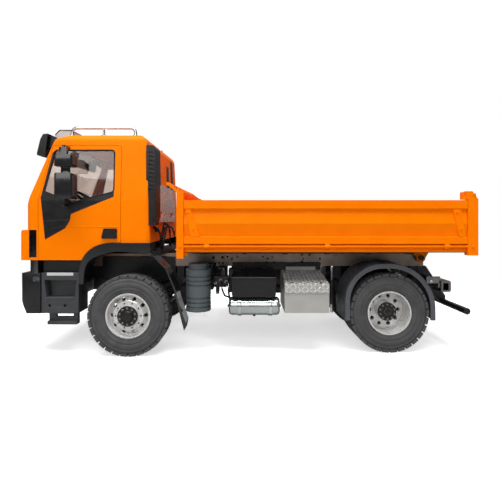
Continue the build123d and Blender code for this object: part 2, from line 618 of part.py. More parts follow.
# Roof rack: a rail of bent tube on either side, each with a leg at its middle
rack_x0, rack_x1 = 121.8, 194.3
rack_y = cab_roof_half - 11.0
rack_tube = 1.6
rack_z = 245.0 - rack_tube
rack_path = FilletPolyline((rack_x0 + rack_tube, rack_y, roof_z - 3), (rack_x0 + rack_tube, rack_y, rack_z),
                           (rack_x1 - rack_tube, rack_y, rack_z), (rack_x1 - rack_tube, rack_y, roof_z - 3), radius=5)
rack_rail = sweep(Plane(origin=rack_path @ 0, z_dir=rack_path % 0) * Circle(rack_tube), path=rack_path)
rack_middle = (rack_x0 + rack_x1) / 2
rack_rail += rod((rack_middle, rack_y, roof_z - 3), (rack_middle, rack_y, rack_z), rack_tube - 0.4)
nodes["roof_rack"] = both_sides(rack_rail) - cab_outer

# Air intake stack at the cab's near rear corner, with slanting louvres
stack_x0, stack_top_z = 98.0, 222.0
stack_y0, stack_y1 = cab_half - 24.0, cab_half - 1.5
stack_side = outline([(stack_x0 + 2.0, 137), (stack_x0, 146), (stack_x0, stack_top_z), (cab_rear_top_x, stack_top_z),
                      (cab_rear_top_x, 137)], [(stack_x0, stack_top_z, 4)])
stack = from_side(stack_side, stack_y0, stack_y1)
louvre = Rot(0, -20, 0) * Box(5.0, 2.4, 2.2)
for i in range(10):
    stack -= Pos(stack_x0 + 4.2, stack_y1, 174 + i * 4.4) * louvre
nodes["air_intake"] = stack - cab_outer

# Plate on the cab's rear wall, with a slot on either side
plate = slab(cab_rear_x - 0.5, cab_rear_top_x, -56, 56, 140, 184) & from_side(
    outline([(cab_rear_x - 1.2, 140), (cab_rear_x + 0.4, 184), (cab_rear_top_x, 184), (cab_rear_top_x, 140)]), -56, 56)
plate -= both_sides(slab(cab_rear_x - 3, cab_rear_top_x, 24, 44, 146, 152))
nodes["rear_wall_plate"] = plate - cab_outer

# Air filter: ribbed canister, cap and bracket to the rail
filter_x, filter_y, filter_radius = 53.8, 70.0, 13.5
canister = Pos(filter_x, filter_y, 67.2) * Cylinder(filter_radius, 44.6)
for z in (50.0, 54.6, 59.2, 73.0, 77.6, 82.2):
    canister -= Pos(filter_x, filter_y, z) * (Cylinder(filter_radius + 1, 1.6) - Cylinder(filter_radius - 0.9, 1.7))
canister += Pos(filter_x, filter_y, 92.6) * Cylinder(filter_radius - 2.5, 6.2)
canister += slab(filter_x - 4, filter_x + 4, rail_y, filter_y - 6, 89.6, 93.6)
nodes["air_filter"] = canister

# Battery box with its brackets, and the air tank slung below it
battery_x0, battery_x1 = -29.8, 17.2
battery_front = outline([(40, 60.5), (40, 86.5), (80, 82), (80, 60.5)], [(80, 82, 1.5)])
battery = from_front(battery_front, battery_x0, battery_x1)
battery = fillet(battery.edges().filter_by(Axis.Y).sort_by(Axis.Z)[:2], 3.0)
for x in (-24, 4):
    battery += slab(x, x + 8, rail_y - 6, 40.5, 80, rail_z)
nodes["battery_box"] = battery
tank_x, tank_y, tank_z, tank_radius, tank_length = -6.8, 70.0, 49.4, 9.75, 54.7
tank = rod((tank_x - tank_length / 2, tank_y, tank_z), (tank_x + tank_length / 2, tank_y, tank_z), tank_radius)
tank = fillet(tank.edges().filter_by(GeomType.CIRCLE), 3.5)
for x in (-24.0, 9.0):
    strap = rod((x - 2, tank_y, tank_z), (x + 2, tank_y, tank_z), tank_radius + 0.8)
    tank += strap + slab(x - 2, x + 2, tank_y - 4, tank_y + 4, tank_z + 6, 60.5)
nodes["air_tank"] = tank

# Tool box against the rail, its lid sloping up to the frame
box_x0, box_x1, box_y = -85.4, -38.7, 85.0
lid_proud, lid_skirt_z = 0.8, 66.0
tool_front = outline([(rail_y, 44.9), (rail_y, 84.5), (rail_y + 5, 83.6), (box_y + lid_proud, 75.3),
                      (box_y + lid_proud, lid_skirt_z), (box_y, lid_skirt_z), (box_y, 44.9)])
tool_box = from_front(tool_front, box_x0, box_x1)
nodes["tool_box"] = tool_box + slab(box_x0 + 6, box_x1 - 6, rail_y - 6, rail_y + 6, 80, rail_z)

# Fuel tank on the right side, held by two straps from the rail
fuel = slab(-88, 14, -82, -36, 42, 82)
fuel = fillet(fuel.edges().filter_by(Axis.X), 7)
for x in (-70, -8):
    fuel += slab(x, x + 6, -38, -rail_y, 70, 96)
nodes["fuel_tank"] = fuel

# Rear mudguards: a sheet with rounded corners, a lip outside, and a bracket to the rail
mud_x0, mud_x1 = rear_axle_x - 48.2, rear_axle_x + 47.9
mud_z0, mud_z1 = 35.2, 95.5
mud_sheet = 1.5
mud_lip = 5.0
mud_y0, mud_y1 = rail_y + 6.0, rear_tyre_outer_y + 1.0


def mud_arch(inset):
    """The closed space within the mudguard, drawn in by inset."""
    return outline([(mud_x0 + inset, mud_z0), (mud_x0 + inset, mud_z1 - inset), (mud_x1 - inset, mud_z1 - inset),
                    (mud_x1 - inset, mud_z0)],
                   [(mud_x0 + inset, mud_z1 - inset, 48 - inset), (mud_x1 - inset, mud_z1 - inset, 40 - inset)])


mudguard = from_side(mud_arch(0), mud_y0, mud_y1) - from_side(mud_arch(mud_sheet), mud_y0 - 1, mud_y1 - mud_sheet)
mudguard -= from_side(mud_arch(mud_lip), mud_y0 - 1, mud_y1 + 1)
mudguard += slab(rear_axle_x - 5, rear_axle_x + 5, rail_y, mud_y0 + 4, rail_z + 1.5, mud_z1 - 0.9)
nodes["rear_mudguards"] = both_sides(mudguard)

# Rear end: drop arms, underrun bar and light bar
underrun_x, underrun_z, underrun_radius, underrun_half = -233.0, 45.4, 3.45, 80.0
arm_side = outline([(-202.5, rail_z), (-213, rail_z), (-236.4, 52), (-236.4, underrun_z), (-229.6, underrun_z),
                    (-204, 70)])
drop_arm = from_side(arm_side, 24, 28) - across(underrun_x, underrun_z, underrun_radius, 20, 30)
nodes["drop_arms"] = both_sides(drop_arm)
nodes["underrun_bar"] = across(underrun_x, underrun_z, underrun_radius, -underrun_half, underrun_half)
light_bar = slab(-212, -207, 28, 82, 68, 77) + slab(-214, -204.5, 62, 82, 66.4, 78)
nodes["rear_lights"] = both_sides(light_bar)

# Tilt pin through the rails' rear ends
tilt_pin = across(tilt_x, tilt_z, tilt_pin_radius, -37, 37)
nodes["frame_rails"] -= tilt_pin
members += tilt_pin

# Hoist carrier below the rails
carrier = slab(hoist_x - 8, hoist_x + 8, 22.5, 26.5, hoist_z - 6, rail_z)
members += both_sides(carrier) + across(hoist_x, hoist_z, 3.0, -23, 23)
nodes["cross_members"] = members

# Hoist barrel and rod, both along the line from the pivot to the eye
hoist_length = hypot(eye_x - hoist_x, eye_z - hoist_z)
hoist_angle = degrees(atan2(eye_z - hoist_z, eye_x - hoist_x))
hoist_place = Pos(hoist_x, 0, hoist_z) * Rot(0, -hoist_angle, 0)
barrel = rod((4, 0, 0), (barrel_length, 0, 0), barrel_radius) + across(0, 0, barrel_radius, -6, 6)
barrel -= across(0, 0, 3.0 + running, -10, 10)
barrel -= rod((12, 0, 0), (barrel_length + 1, 0, 0), hoist_rod_radius + running)
nodes["hoist_barrel"] = hoist_place * barrel
hoist_rod = rod((14, 0, 0), (hoist_length, 0, 0), hoist_rod_radius) + across(hoist_length, 0, 4.0, -3.3, 3.3)
nodes["hoist_rod"] = hoist_place * hoist_rod

# Tipper floor with bearers, cross bearers, tilt lugs and the hoist's ears
bed_rear_face = bed_rear_x - 3.6
floor = slab(bed_rear_face, bed_front_x, -floor_half, floor_half, floor_z, floor_top_z)
floor -= both_sides(slab(bed_rear_face - 1, bed_rear_x, bed_half - 6, floor_half + 1, floor_z - 1, floor_top_z + 1))
bearer_z = rail_top_z + rest_gap
floor += both_sides(slab(-190, bed_front_x, rail_y - 8, rail_y - 1, bearer_z, floor_z))
for i in range(6):
    x = -172 + i * 44
    floor += both_sides(slab(x - 2, x + 2, rail_y - 1, bed_half - 12, floor_z - 2.8, floor_z))
lug = outline([(tilt_x - 12, floor_z), (tilt_x + 12, floor_z), (tilt_x + 4.0, tilt_z - 2.5), (tilt_x - 4.0, tilt_z - 2.5)])
lug += Pos(tilt_x, tilt_z) * Circle(5.4)
lug -= Pos(tilt_x, tilt_z) * Circle(tilt_pin_radius + running)
floor += both_sides(from_side(lug, rail_y + rest_gap + 1, rail_y + 5))
floor += slab(eye_x - 7, eye_x + 7, rail_flange - rail_y, rail_y - rail_flange, floor_z - 1.2, floor_z)
eye_ear = outline([(eye_x - 6, floor_z), (eye_x + 6, floor_z), (eye_x + 3, eye_z - 4), (eye_x - 3, eye_z - 4)])
floor += both_sides(from_side(eye_ear, 3.3 + 0.6, 6.4))
nodes["bed_floor"] = floor

# Corner posts, with the rods that the drop sides hang on and the tailgate's pins
tailgate_pin = (bed_rear_x - 6.6, 168.7)
post_y0 = bed_half - 6.0
board_inner_y = bed_half - board_thickness
front_post = slab(bed_front_x, bed_front_x + post_length, post_y0, bed_half, 102.7, post_top_z)
rear_outline = outline([(bed_rear_x, 105.9), (bed_rear_x, rear_post_top_z), (bed_rear_x - 4.5, rear_post_top_z),
                        (bed_rear_x - rear_post_length, 164), (bed_rear_x - rear_post_length, 105.9)])
hook = outline([(bed_rear_x, board_top_z + 0.6), (bed_rear_x, rear_post_top_z), (bed_rear_x + 2, rear_post_top_z),
                (bed_rear_x + 2.4, 167.4), (bed_rear_x + 4, 167.4), (bed_rear_x + 4.4, rear_post_top_z - 0.6),
                (bed_rear_x + 6.3, rear_post_top_z - 1.2), (bed_rear_x + 6.3, board_top_z + 0.6)])
rear_post = from_side(rear_outline, post_y0, bed_half) + from_side(hook, board_inner_y, bed_half)
rear_post += slab(bed_rear_face, bed_rear_x, floor_half - 3, post_y0, 106, floor_z)
front_post += slab(bed_front_x - 3, bed_front_x + 3, floor_half - 6, post_y0, 105, floor_z)
hinge_rod = rod((bed_rear_x, board_hinge_y, board_hinge_z), (bed_front_x, board_hinge_y, board_hinge_z),
                board_rod_radius)
gate_pin = across(tailgate_pin[0], tailgate_pin[1], 1.3, post_y0 - 4, post_y0)
nodes["bed_posts"] = both_sides(front_post + rear_post + hinge_rod + gate_pin)

# Headboard: plate between the front posts, a cap on them, and a guard bar on braces ahead of it
head_x = bed_front_x + 1.6
cap_top_z = post_top_z + 4.0
headboard = slab(head_x, head_x + 2.6, -post_y0, post_y0, floor_top_z, cap_top_z)
headboard += slab(bed_front_x, bed_front_x + post_length, -bed_half, bed_half, post_top_z, cap_top_z)
headboard += slab(bed_front_x, head_x + 2.6, 32 - bed_half, bed_half - 32, floor_z, floor_top_z)
guard_bar = (bed_front_x + 16.3, 179.8)
brace = outline([(bed_front_x + 2, cap_top_z - 1), (bed_front_x + 7, cap_top_z - 1), (guard_bar[0] + 1, guard_bar[1]),
                 (guard_bar[0] - 1.5, guard_bar[1] + 1)])
for y in (bed_half - 1.6, 48.0, 16.0):
    headboard += both_sides(from_side(brace, y - 1.5, y + 1.5))
headboard += across(*guard_bar, 1.75, -bed_half, bed_half)
nodes["headboard"] = headboard

# Drop sides: panel between two rails, inner skin and six hinge eyes on the rod
board_x0 = bed_rear_x + seam
board_x1 = bed_front_x - seam
board_y0 = bed_half - board_thickness
board_front = outline([
    (board_y0, floor_top_z + rest_gap), (board_y0 + 0.8, floor_top_z + rest_gap),
    (board_y0 + 0.8, board_rail_z), (bed_half, board_rail_z), (bed_half, 125.0), (bed_half - 2.2, 125.5),
    (bed_half - 0.4, 138.9), (bed_half - 2.2, 152.3), (bed_half, 154.4), (bed_half, board_top_z),
    (board_y0, board_top_z)])
board = from_front(board_front, board_x0, board_x1)
# Lock arms lying in the recess, one behind each post
lock_arms = [
    [(-211.4, 153.4), (-219.6, 153.4), (-224.8, 125.2), (-218, 125.2)],
    [(64.9, 153.4), (59.2, 153.4), (49.5, 125.2), (59.2, 125.2)]]
for arm_outline in lock_arms:
    board += from_side(outline(arm_outline), bed_half - 3, bed_half)
eye_outer = board_rod_radius + running + 1.0
eye_width = 5.0
for x in (-205.7, -82.0, 42.8):
    board += from_front(
        Pos(board_hinge_y, board_hinge_z) * Circle(eye_outer)
        + outline([(board_hinge_y - 1.4, board_hinge_z), (bed_half, board_hinge_z),
                   (bed_half, board_rail_z + 1), (board_hinge_y - 1.4, board_rail_z + 1)]),
        x - eye_width / 2, x + eye_width / 2)
board -= rod((bed_rear_x, board_hinge_y, board_hinge_z), (bed_front_x, board_hinge_y, board_hinge_z),
             board_rod_radius + running)
nodes["side_board_left"] = board
nodes["side_board_right"] = other_side(board)

# Tailgate between the rear posts, hung from the pins by two arms
gate_x0 = bed_rear_face - rest_gap
gate_half = post_y0 - seam
gate = slab(gate_x0 - 3.2, gate_x0, -gate_half, gate_half, floor_z + 2, board_top_z)
arm = from_side(Sketch() + [outline([(gate_x0, board_top_z - 4), (gate_x0 - 3.2, board_top_z - 4),
                                     (tailgate_pin[0] - 2.4, tailgate_pin[1]),
                                     (tailgate_pin[0] + 2.4, tailgate_pin[1])]),
                            Pos(*tailgate_pin) * Circle(2.6)], post_y0 - 3.6, gate_half)
arm -= across(tailgate_pin[0], tailgate_pin[1], 1.3 + running, post_y0 - 10, post_y0 + 2)
nodes["tailgate"] = gate + both_sides(arm)

for name, shape in nodes.items():
    export_step(shape, f"parts/{name}.step")
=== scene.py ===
from math import cos, pi, radians, sin, tau

import bmesh
import bpy
from mathutils import Matrix, Vector


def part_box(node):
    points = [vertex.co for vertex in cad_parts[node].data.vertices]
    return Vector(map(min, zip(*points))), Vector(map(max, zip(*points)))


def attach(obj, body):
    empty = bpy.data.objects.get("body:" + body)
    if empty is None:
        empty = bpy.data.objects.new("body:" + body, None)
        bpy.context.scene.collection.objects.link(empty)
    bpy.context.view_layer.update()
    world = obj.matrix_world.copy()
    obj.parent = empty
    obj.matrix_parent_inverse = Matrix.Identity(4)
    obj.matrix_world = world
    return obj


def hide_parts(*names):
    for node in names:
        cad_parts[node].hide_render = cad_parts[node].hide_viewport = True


# The looks of a 1:14 model of a two-axle tipper truck. Sizes are written in millimetres and made
# metres by MM. +X is forward, +Y is left and +Z is up, with the origin on the ground.
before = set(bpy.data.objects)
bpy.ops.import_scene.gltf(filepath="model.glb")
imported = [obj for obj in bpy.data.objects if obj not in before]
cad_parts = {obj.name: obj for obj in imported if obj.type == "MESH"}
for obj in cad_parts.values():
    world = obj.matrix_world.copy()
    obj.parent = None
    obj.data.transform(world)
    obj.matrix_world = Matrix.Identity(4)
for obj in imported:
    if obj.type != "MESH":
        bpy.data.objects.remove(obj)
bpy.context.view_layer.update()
MM = 0.001
SIDES = (("left", 1), ("right", -1))

# Places on the model that several pieces share, in millimetres
AXLES = {"front": 125.0, "rear": -152.0}
AXLE_Z = 42.5
CAB_HALF, CAB_ROOF_HALF = 82.0, 77.0
CAB_BASE_Z, SILL_Z, ROOF_Z = 100, 163.0, 234.5
CAB_REAR_X, CAB_REAR_LEAN = 103.5, 4.5  # at the base, and forward from there to the roof
SCREEN_X, SCREEN_Z = 232.0, 164.0       # the windscreen's lower edge
SCREEN_SIN, SCREEN_COS = 0.371, 0.928   # of its lean
BODY_BOLT_Y = 92.2


# Small tools


def linear(code):
    """An sRGB hex colour as the linear values that a socket takes."""
    channels = [int(code[i:i + 2], 16) / 255 for i in (1, 3, 5)]
    return [c / 12.92 if c <= 0.04045 else ((c + 0.055) / 1.055) ** 2.4 for c in channels] + [1.0]


def add(tree, kind, settings=None, inputs=None):
    """Adds a node with its settings. Inputs are values, or sockets to link, by socket name or number."""
    node = tree.nodes.new(kind)
    for name, value in (settings or {}).items():
        setattr(node, name, value)
    for key, value in (inputs or {}).items():
        if isinstance(value, bpy.types.NodeSocket):
            tree.links.new(value, node.inputs[key])
        else:
            node.inputs[key].default_value = value
    return node


def node_box(node):
    """A CAD node's lowest and highest corner in millimetres."""
    return [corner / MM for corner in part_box(node)]


# Materials


def finish(name, colour, roughness, metallic=0.0):
    """A material with its shader, and the place on the surface that its patterns read."""
    material = bpy.data.materials.new(name)
    material.use_nodes = True
    tree = material.node_tree
    shader = tree.nodes["Principled BSDF"]
    shader.inputs["Base Color"].default_value = linear(colour)
    shader.inputs["Roughness"].default_value = roughness
    shader.inputs["Metallic"].default_value = metallic
    place = add(tree, "ShaderNodeTexCoord").outputs["Object"]
    return material, tree, shader, place


def patches(tree, place, size, low, high, detail=3.0):
    """Noise with patches of size millimetres, as a value from low to high."""
    noise = add(tree, "ShaderNodeTexNoise", inputs={
        "Vector": place, "Scale": 1 / (size * MM), "Detail": detail})
    spread = {"Value": noise.outputs["Fac"], "From Min": 0.3, "From Max": 0.7, "To Min": low, "To Max": high}
    return add(tree, "ShaderNodeMapRange", inputs=spread).outputs["Result"]


def tint(tree, shader, first, second, share):
    """Mixes two hex colours into the shader's colour."""
    mix = add(tree, "ShaderNodeMix", {"data_type": "RGBA"}, {0: share, 6: linear(first), 7: linear(second)})
    tree.links.new(mix.outputs[2], shader.inputs["Base Color"])


def relief(tree, shader, height, depth, edge):
    """Raises the surface by height times depth, and rounds its edges by edge, both in millimetres."""
    round_edge = add(tree, "ShaderNodeBevel", {"samples": 6}, {"Radius": edge * MM})
    bump = add(tree, "ShaderNodeBump", inputs={
        "Height": height, "Distance": depth * MM, "Strength": 1.0, "Normal": round_edge.outputs["Normal"]})
    tree.links.new(bump.outputs["Normal"], shader.inputs["Normal"])


def surface(name, light, dark, rough, grain, depth, metallic=0.0, coat=0.0, edge=0.35, patch=18.0, shine=0.5):
    """A finish with colour patches, a roughness that varies and a fine grain.
    rough is its lowest and highest roughness, grain and depth the grain's size and height in millimetres."""
    material, tree, shader, place = finish(name, light, rough[0], metallic)
    tint(tree, shader, light, dark, patches(tree, place, patch, 0.0, 1.0))
    tree.links.new(patches(tree, place, patch / 3, *rough), shader.inputs["Roughness"])
    relief(tree, shader, patches(tree, place, grain, 0.0, 1.0, 1.0), depth, edge)
    shader.inputs["Specular IOR Level"].default_value = shine
    shader.inputs["Coat Weight"].default_value = coat
    shader.inputs["Coat Roughness"].default_value = 0.08
    return material


# Sprayed enamel on ABS: even bright orange, with a faint orange peel
CAB_ENAMEL = surface("sprayed_enamel_on_abs", "#FF8000", "#FE7B00", (0.3, 0.4), 1.1, 0.008, shine=0.04)
# Powder coat on folded steel: the same orange, a little duller and more pebbled
BODY_ENAMEL = surface("powder_coat_on_steel", "#FF7F00", "#FC7900", (0.36, 0.46), 0.9, 0.01, shine=0.04)
# Moulded black ABS with a fine spark-eroded grain: dark, satin, soft highlights
BLACK_ABS = surface("moulded_black_abs", "#0D0D0F", "#121214", (0.28, 0.4), 0.5, 0.012, shine=0.45)
# Black ABS from a polished mould: sharp pale highlights along its curves
GLOSS_ABS = surface("polished_black_abs", "#1A1A1C", "#202022", (0.12, 0.2), 2.0, 0.003, coat=0.2, shine=0.5)
# Black chromate on steel plate: the covers under the load floor, and the lamps' reflectors
DARK_PLATE = surface("black_chromated_plate", "#26231F", "#1E1C1A", (0.5, 0.65), 0.9, 0.01, metallic=0.3)
# Natural rubber of hoses, seams and glazing strips: dull black
SOFT_BLACK = surface("natural_rubber_strip", "#18181A", "#202022", (0.6, 0.75), 0.7, 0.02, shine=0.3)
# Nickel-plated nuts, unions and lamp brackets: darker than the rims
NICKEL = surface(
    "nickel_plated_steel", "#8E8C88", "#7A7875", (0.25, 0.4), 0.8, 0.008, metallic=1.0, edge=0.12)
# Silvered acrylic of the mirrors
MIRROR = surface("silvered_acrylic", "#DFE3E6", "#D2D7DB", (0.03, 0.08), 4.0, 0.001, metallic=1.0, edge=0.1)
# Glass-filled nylon, moulded and left bare: dark grey and slightly chalky
GREY_NYLON = surface("moulded_grey_nylon", "#3B3C3F", "#343538", (0.34, 0.46), 0.6, 0.014, shine=0.45)
# The mudguards' nylon sheet, painted a lighter grey than the other nylon: painted light, standing in for
# light in the shade under the load bed
MUDGUARD_NYLON_PAINTED_LIGHTER = surface("grey_nylon_painted_lighter_for_shade", "#54565A", "#4A4C50", (0.36, 0.5), 0.6, 0.014, shine=0.45)
# Ribbed housing of painted ABS: greenish grey and satin
FILTER_ABS = surface("painted_filter_housing", "#545B5E", "#4A5154", (0.28, 0.4), 0.8, 0.01, shine=0.4)
# Pale thermoplastic rubber of the step pads
PALE_PAD = surface("pale_thermoplastic_pad", "#C9C9C8", "#BDBDBC", (0.55, 0.7), 0.6, 0.02, shine=0.3)
# Polished opal acrylic: pale, milky and glossy
OPAL_ACRYLIC = surface("polished_opal_acrylic", "#B9BBB9", "#ADAFAE", (0.15, 0.25), 3.0, 0.004)
# Anodised aluminium channel, brown-grey, scratched by handling
FRAME_ALUMINIUM = surface("anodised_aluminium", "#A99A8D", "#8D7F74", (0.34, 0.5), 0.8, 0.008, metallic=0.6)
# Rolled aluminium plate, bright, with dull patches
PLATE_ALUMINIUM = surface(
    "rolled_aluminium_plate", "#B9B8B3", "#AEADA8", (0.4, 0.52), 0.7, 0.006, metallic=0.45)
# Near-white aluminium, on the tops of the checker plate, which are paler than the plate, and on the cab's
# rear plate, where the near white is painted light on a plate that stands in shade
PALE_ALUMINIUM_AND_PAINTED_LIGHT = surface(
    "pale_aluminium_and_painted_light", "#F2F1EE", "#E2E1DD", (0.2, 0.32), 0.7, 0.004, metallic=0.4, edge=0.1)
# Drawn aluminium tube, satin polished
TANK_ALUMINIUM = surface(
    "satin_drawn_aluminium", "#C4CBCA", "#B6BEBD", (0.2, 0.28), 1.4, 0.003, metallic=0.95)
# Stainless steel wire, polished
STAINLESS = surface("polished_stainless_wire", "#D8D8DA", "#C6C7CA", (0.14, 0.24), 1.6, 0.004, metallic=1.0)
# Blackened steel: dark machined brackets, drive blocks and springs
BLACK_STEEL = surface("blackened_steel", "#2B2A2C", "#373538", (0.35, 0.5), 0.6, 0.02, metallic=0.6)
# Moulded vinyl-like ABS of the seats and dashboard: warm grey-brown and matt
CABIN_ABS = surface("moulded_cabin_abs", "#4A3E3C", "#3C3231", (0.55, 0.7), 0.8, 0.04)


def tyre_rubber():
    """Vulcanised rubber: matt dark grey, slightly dusty, with a soft sheen where the mould was smooth."""
    material, tree, shader, place = finish("vulcanised_rubber", "#4A4A4B", 0.72)
    tint(tree, shader, "#4B4B4C", "#3E3E40", patches(tree, place, 9.0, 0.0, 1.0))
    tree.links.new(patches(tree, place, 3.0, 0.62, 0.8), shader.inputs["Roughness"])
    relief(tree, shader, patches(tree, place, 0.45, 0.0, 1.0, 2.0), 0.04, 0.25)
    return material


def turned_aluminium(name, centre_x):
    """Aluminium turned on a lathe: satin, with fine rings about the wheel's axis, 0.5 mm apart to show."""
    material, tree, shader, place = finish(name, "#DBDAD8", 0.3, 0.4)
    centred = add(tree, "ShaderNodeMapping", inputs={
        "Vector": place, "Location": (-centre_x * MM, 0, -AXLE_Z * MM), "Scale": (1, 0, 1)})
    radius = add(tree, "ShaderNodeVectorMath", {"operation": "LENGTH"}, {0: centred.outputs["Vector"]})
    turns = add(tree, "ShaderNodeMath", {"operation": "MULTIPLY"}, {
        0: radius.outputs["Value"], 1: tau / (0.5 * MM)})
    rings = add(tree, "ShaderNodeMath", {"operation": "SINE"}, {0: turns.outputs[0]})
    tint(tree, shader, "#DEDDDB", "#CDCCCA", patches(tree, place, 6.0, 0.0, 1.0))
    tree.links.new(patches(tree, place, 2.5, 0.24, 0.4), shader.inputs["Roughness"])
    relief(tree, shader, rings.outputs[0], 0.006, 0.25)
    return material


def clear_acrylic(name, colour, roughness=0.02):
    """Polished see-through acrylic in one tint."""
    material, tree, shader, place = finish(name, colour, roughness)
    shader.inputs["Transmission Weight"].default_value = 1.0
    shader.inputs["IOR"].default_value = 1.49
    tree.links.new(patches(tree, place, 5.0, roughness, roughness + 0.03), shader.inputs["Roughness"])
    return material


RUBBER = tyre_rubber()
CAB_GLASS = clear_acrylic("smoked_acrylic_pane", "#DDD2CB")
CLEAR_LENS = clear_acrylic("clear_acrylic_lens", "#E6E8EA", 0.05)
SMOKED_LENS = clear_acrylic("smoked_acrylic_lens", "#5A5052", 0.05)
RED_LENS = clear_acrylic("red_acrylic_lens", "#C81A12", 0.08)
AMBER_LENS = clear_acrylic("amber_acrylic_lens", "#E88A18", 0.08)


# Meshes, built in millimetres


def block(bm, x0, x1, y0, y1, z0, z1):
    """A box between its faces."""
    size = (x1 - x0, y1 - y0, z1 - z0)
    middle = ((x0 + x1) / 2, (y0 + y1) / 2, (z0 + z1) / 2)
    bmesh.ops.create_cube(bm, size=1.0, matrix=Matrix.Translation(middle) @ Matrix.Diagonal((*size, 1.0)))


def skin(bm, rings):
    """Joins rings of points, each as many, by faces. The first and last are capped."""
    rows = [[bm.verts.new(point) for point in ring] for ring in rings]
    count = len(rows[0])
    for low, high in zip(rows, rows[1:]):
        for i in range(count):
            j = (i + 1) % count
            bm.faces.new((low[i], low[j], high[j], high[i]))
    bm.faces.new(rows[0][::-1])
    bm.faces.new(rows[-1])


def prism(bm, points, axis, low, high):
    """Extrudes an outline along an axis. X takes (y, z) points, Y takes (x, z) and Z takes (x, y)."""
    def place(a, b, depth):
        return {"X": (depth, a, b), "Y": (a, depth, b), "Z": (a, b, depth)}[axis]
    skin(bm, [[place(a, b, depth) for a, b in points] for depth in (low, high)])


def circle_points(centre, across, along, radius, sides):
    """Points of a circle about centre, in the plane of two directions."""
    angles = [i * tau / sides for i in range(sides)]
    return [centre + (across * cos(a) + along * sin(a)) * radius for a in angles]


def tube(bm, path, radius, sides):
    """A round bar that follows points."""
    path = [Vector(p) for p in path]
    rings = []
    up = Vector((0.13, 0.21, 0.97))  # along no bar of the model
    for i, point in enumerate(path):
        before, after = path[max(i - 1, 0)], path[min(i + 1, len(path) - 1)]
        ahead = (after - before).normalized()
        across = ahead.cross(up).normalized()
        along = across.cross(ahead).normalized()
        rings.append(circle_points(point, across, along, radius, sides))
    skin(bm, rings)


def lathe(bm, profile, centre, steps):
    """Turns a closed profile of (radius, y) points about the Y axis through centre, an (x, z) place."""
    rows = []
    for i in range(steps):
        across, up = cos(i * tau / steps), sin(i * tau / steps)
        rows.append([bm.verts.new((centre[0] + r * across, y, centre[1] + r * up)) for r, y in profile])
    for i in range(steps):
        here, following = rows[i], rows[(i + 1) % steps]
        for j in range(len(profile)):
            k = (j + 1) % len(profile)
            bm.faces.new((here[j], here[k], following[k], following[j]))


def mirrored(bm):
    """Mirrors everything in the mesh to the other side as well."""
    copied = bmesh.ops.duplicate(bm, geom=bm.verts[:] + bm.edges[:] + bm.faces[:])["geom"]
    verts = [item for item in copied if isinstance(item, bmesh.types.BMVert)]
    bmesh.ops.scale(bm, vec=(1, -1, 1), verts=verts)


def flipped(bm, sign):
    """Turns a left-hand mesh into the right-hand one where sign is -1."""
    bmesh.ops.scale(bm, vec=(1, sign, 1), verts=bm.verts)
    return bm


def settle(obj, material, body, replaces=(), angle=32.0):
    """Bakes an object's modifiers, shades it, and seats it on its body."""
    bpy.context.view_layer.update()
    evaluated = obj.evaluated_get(bpy.context.evaluated_depsgraph_get())
    mesh = bpy.data.meshes.new_from_object(evaluated)
    obj.modifiers.clear()
    obj.data = mesh
    mesh.name = obj.name
    mesh.materials.clear()
    mesh.materials.append(material)
    mesh.shade_smooth()
    mesh.set_sharp_from_angle(angle=radians(angle))
    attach(obj, body)
    if replaces:
        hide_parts(*replaces)
    return obj


def piece(name, bm, material, body, replaces=(), edge=0.0, segments=2, angle=32.0):
    """Makes a finished piece from a mesh in millimetres, its sharp edges rounded by edge."""
    bmesh.ops.remove_doubles(bm, verts=bm.verts, dist=0.001)
    bmesh.ops.dissolve_degenerate(bm, edges=bm.edges, dist=0.0005)
    bmesh.ops.recalc_face_normals(bm, faces=bm.faces)
    bmesh.ops.scale(bm, vec=(MM, MM, MM), verts=bm.verts)
    mesh = bpy.data.meshes.new(name)
    bm.to_mesh(mesh)
    bm.free()
    obj = bpy.data.objects.new(name, mesh)
    bpy.context.scene.collection.objects.link(obj)
    if edge:
        rounding = obj.modifiers.new("Rounded edges", "BEVEL")
        rounding.width = edge * MM
        rounding.segments = segments
        rounding.limit_method = "ANGLE"
        rounding.angle_limit = radians(angle)
        rounding.use_clamp_overlap = True
    return settle(obj, material, body, replaces, angle)


# Geometry Nodes trees


def new_tree(name, sizes):
    """A tree and its named inputs, given as (name, socket kind). end_tree() ends it."""
    tree = bpy.data.node_groups.new(name, "GeometryNodeTree")
    tree.interface.new_socket("Geometry", in_out="INPUT", socket_type="NodeSocketGeometry")
    for label, kind in sizes + [("Finish", "Material")]:
        tree.interface.new_socket(label, in_out="INPUT", socket_type="NodeSocket" + kind)
    tree.interface.new_socket("Geometry", in_out="OUTPUT", socket_type="NodeSocketGeometry")
    return tree, add(tree, "NodeGroupInput").outputs


def end_tree(tree, inputs, instances):
    """Ends a tree: the instances made real, with their material."""
    real = add(tree, "GeometryNodeRealizeInstances", inputs={"Geometry": instances})
    dressed = add(tree, "GeometryNodeSetMaterial", inputs={
        "Geometry": real.outputs[0], "Material": inputs["Finish"]})
    add(tree, "NodeGroupOutput", inputs={"Geometry": dressed.outputs[0]})
    return tree


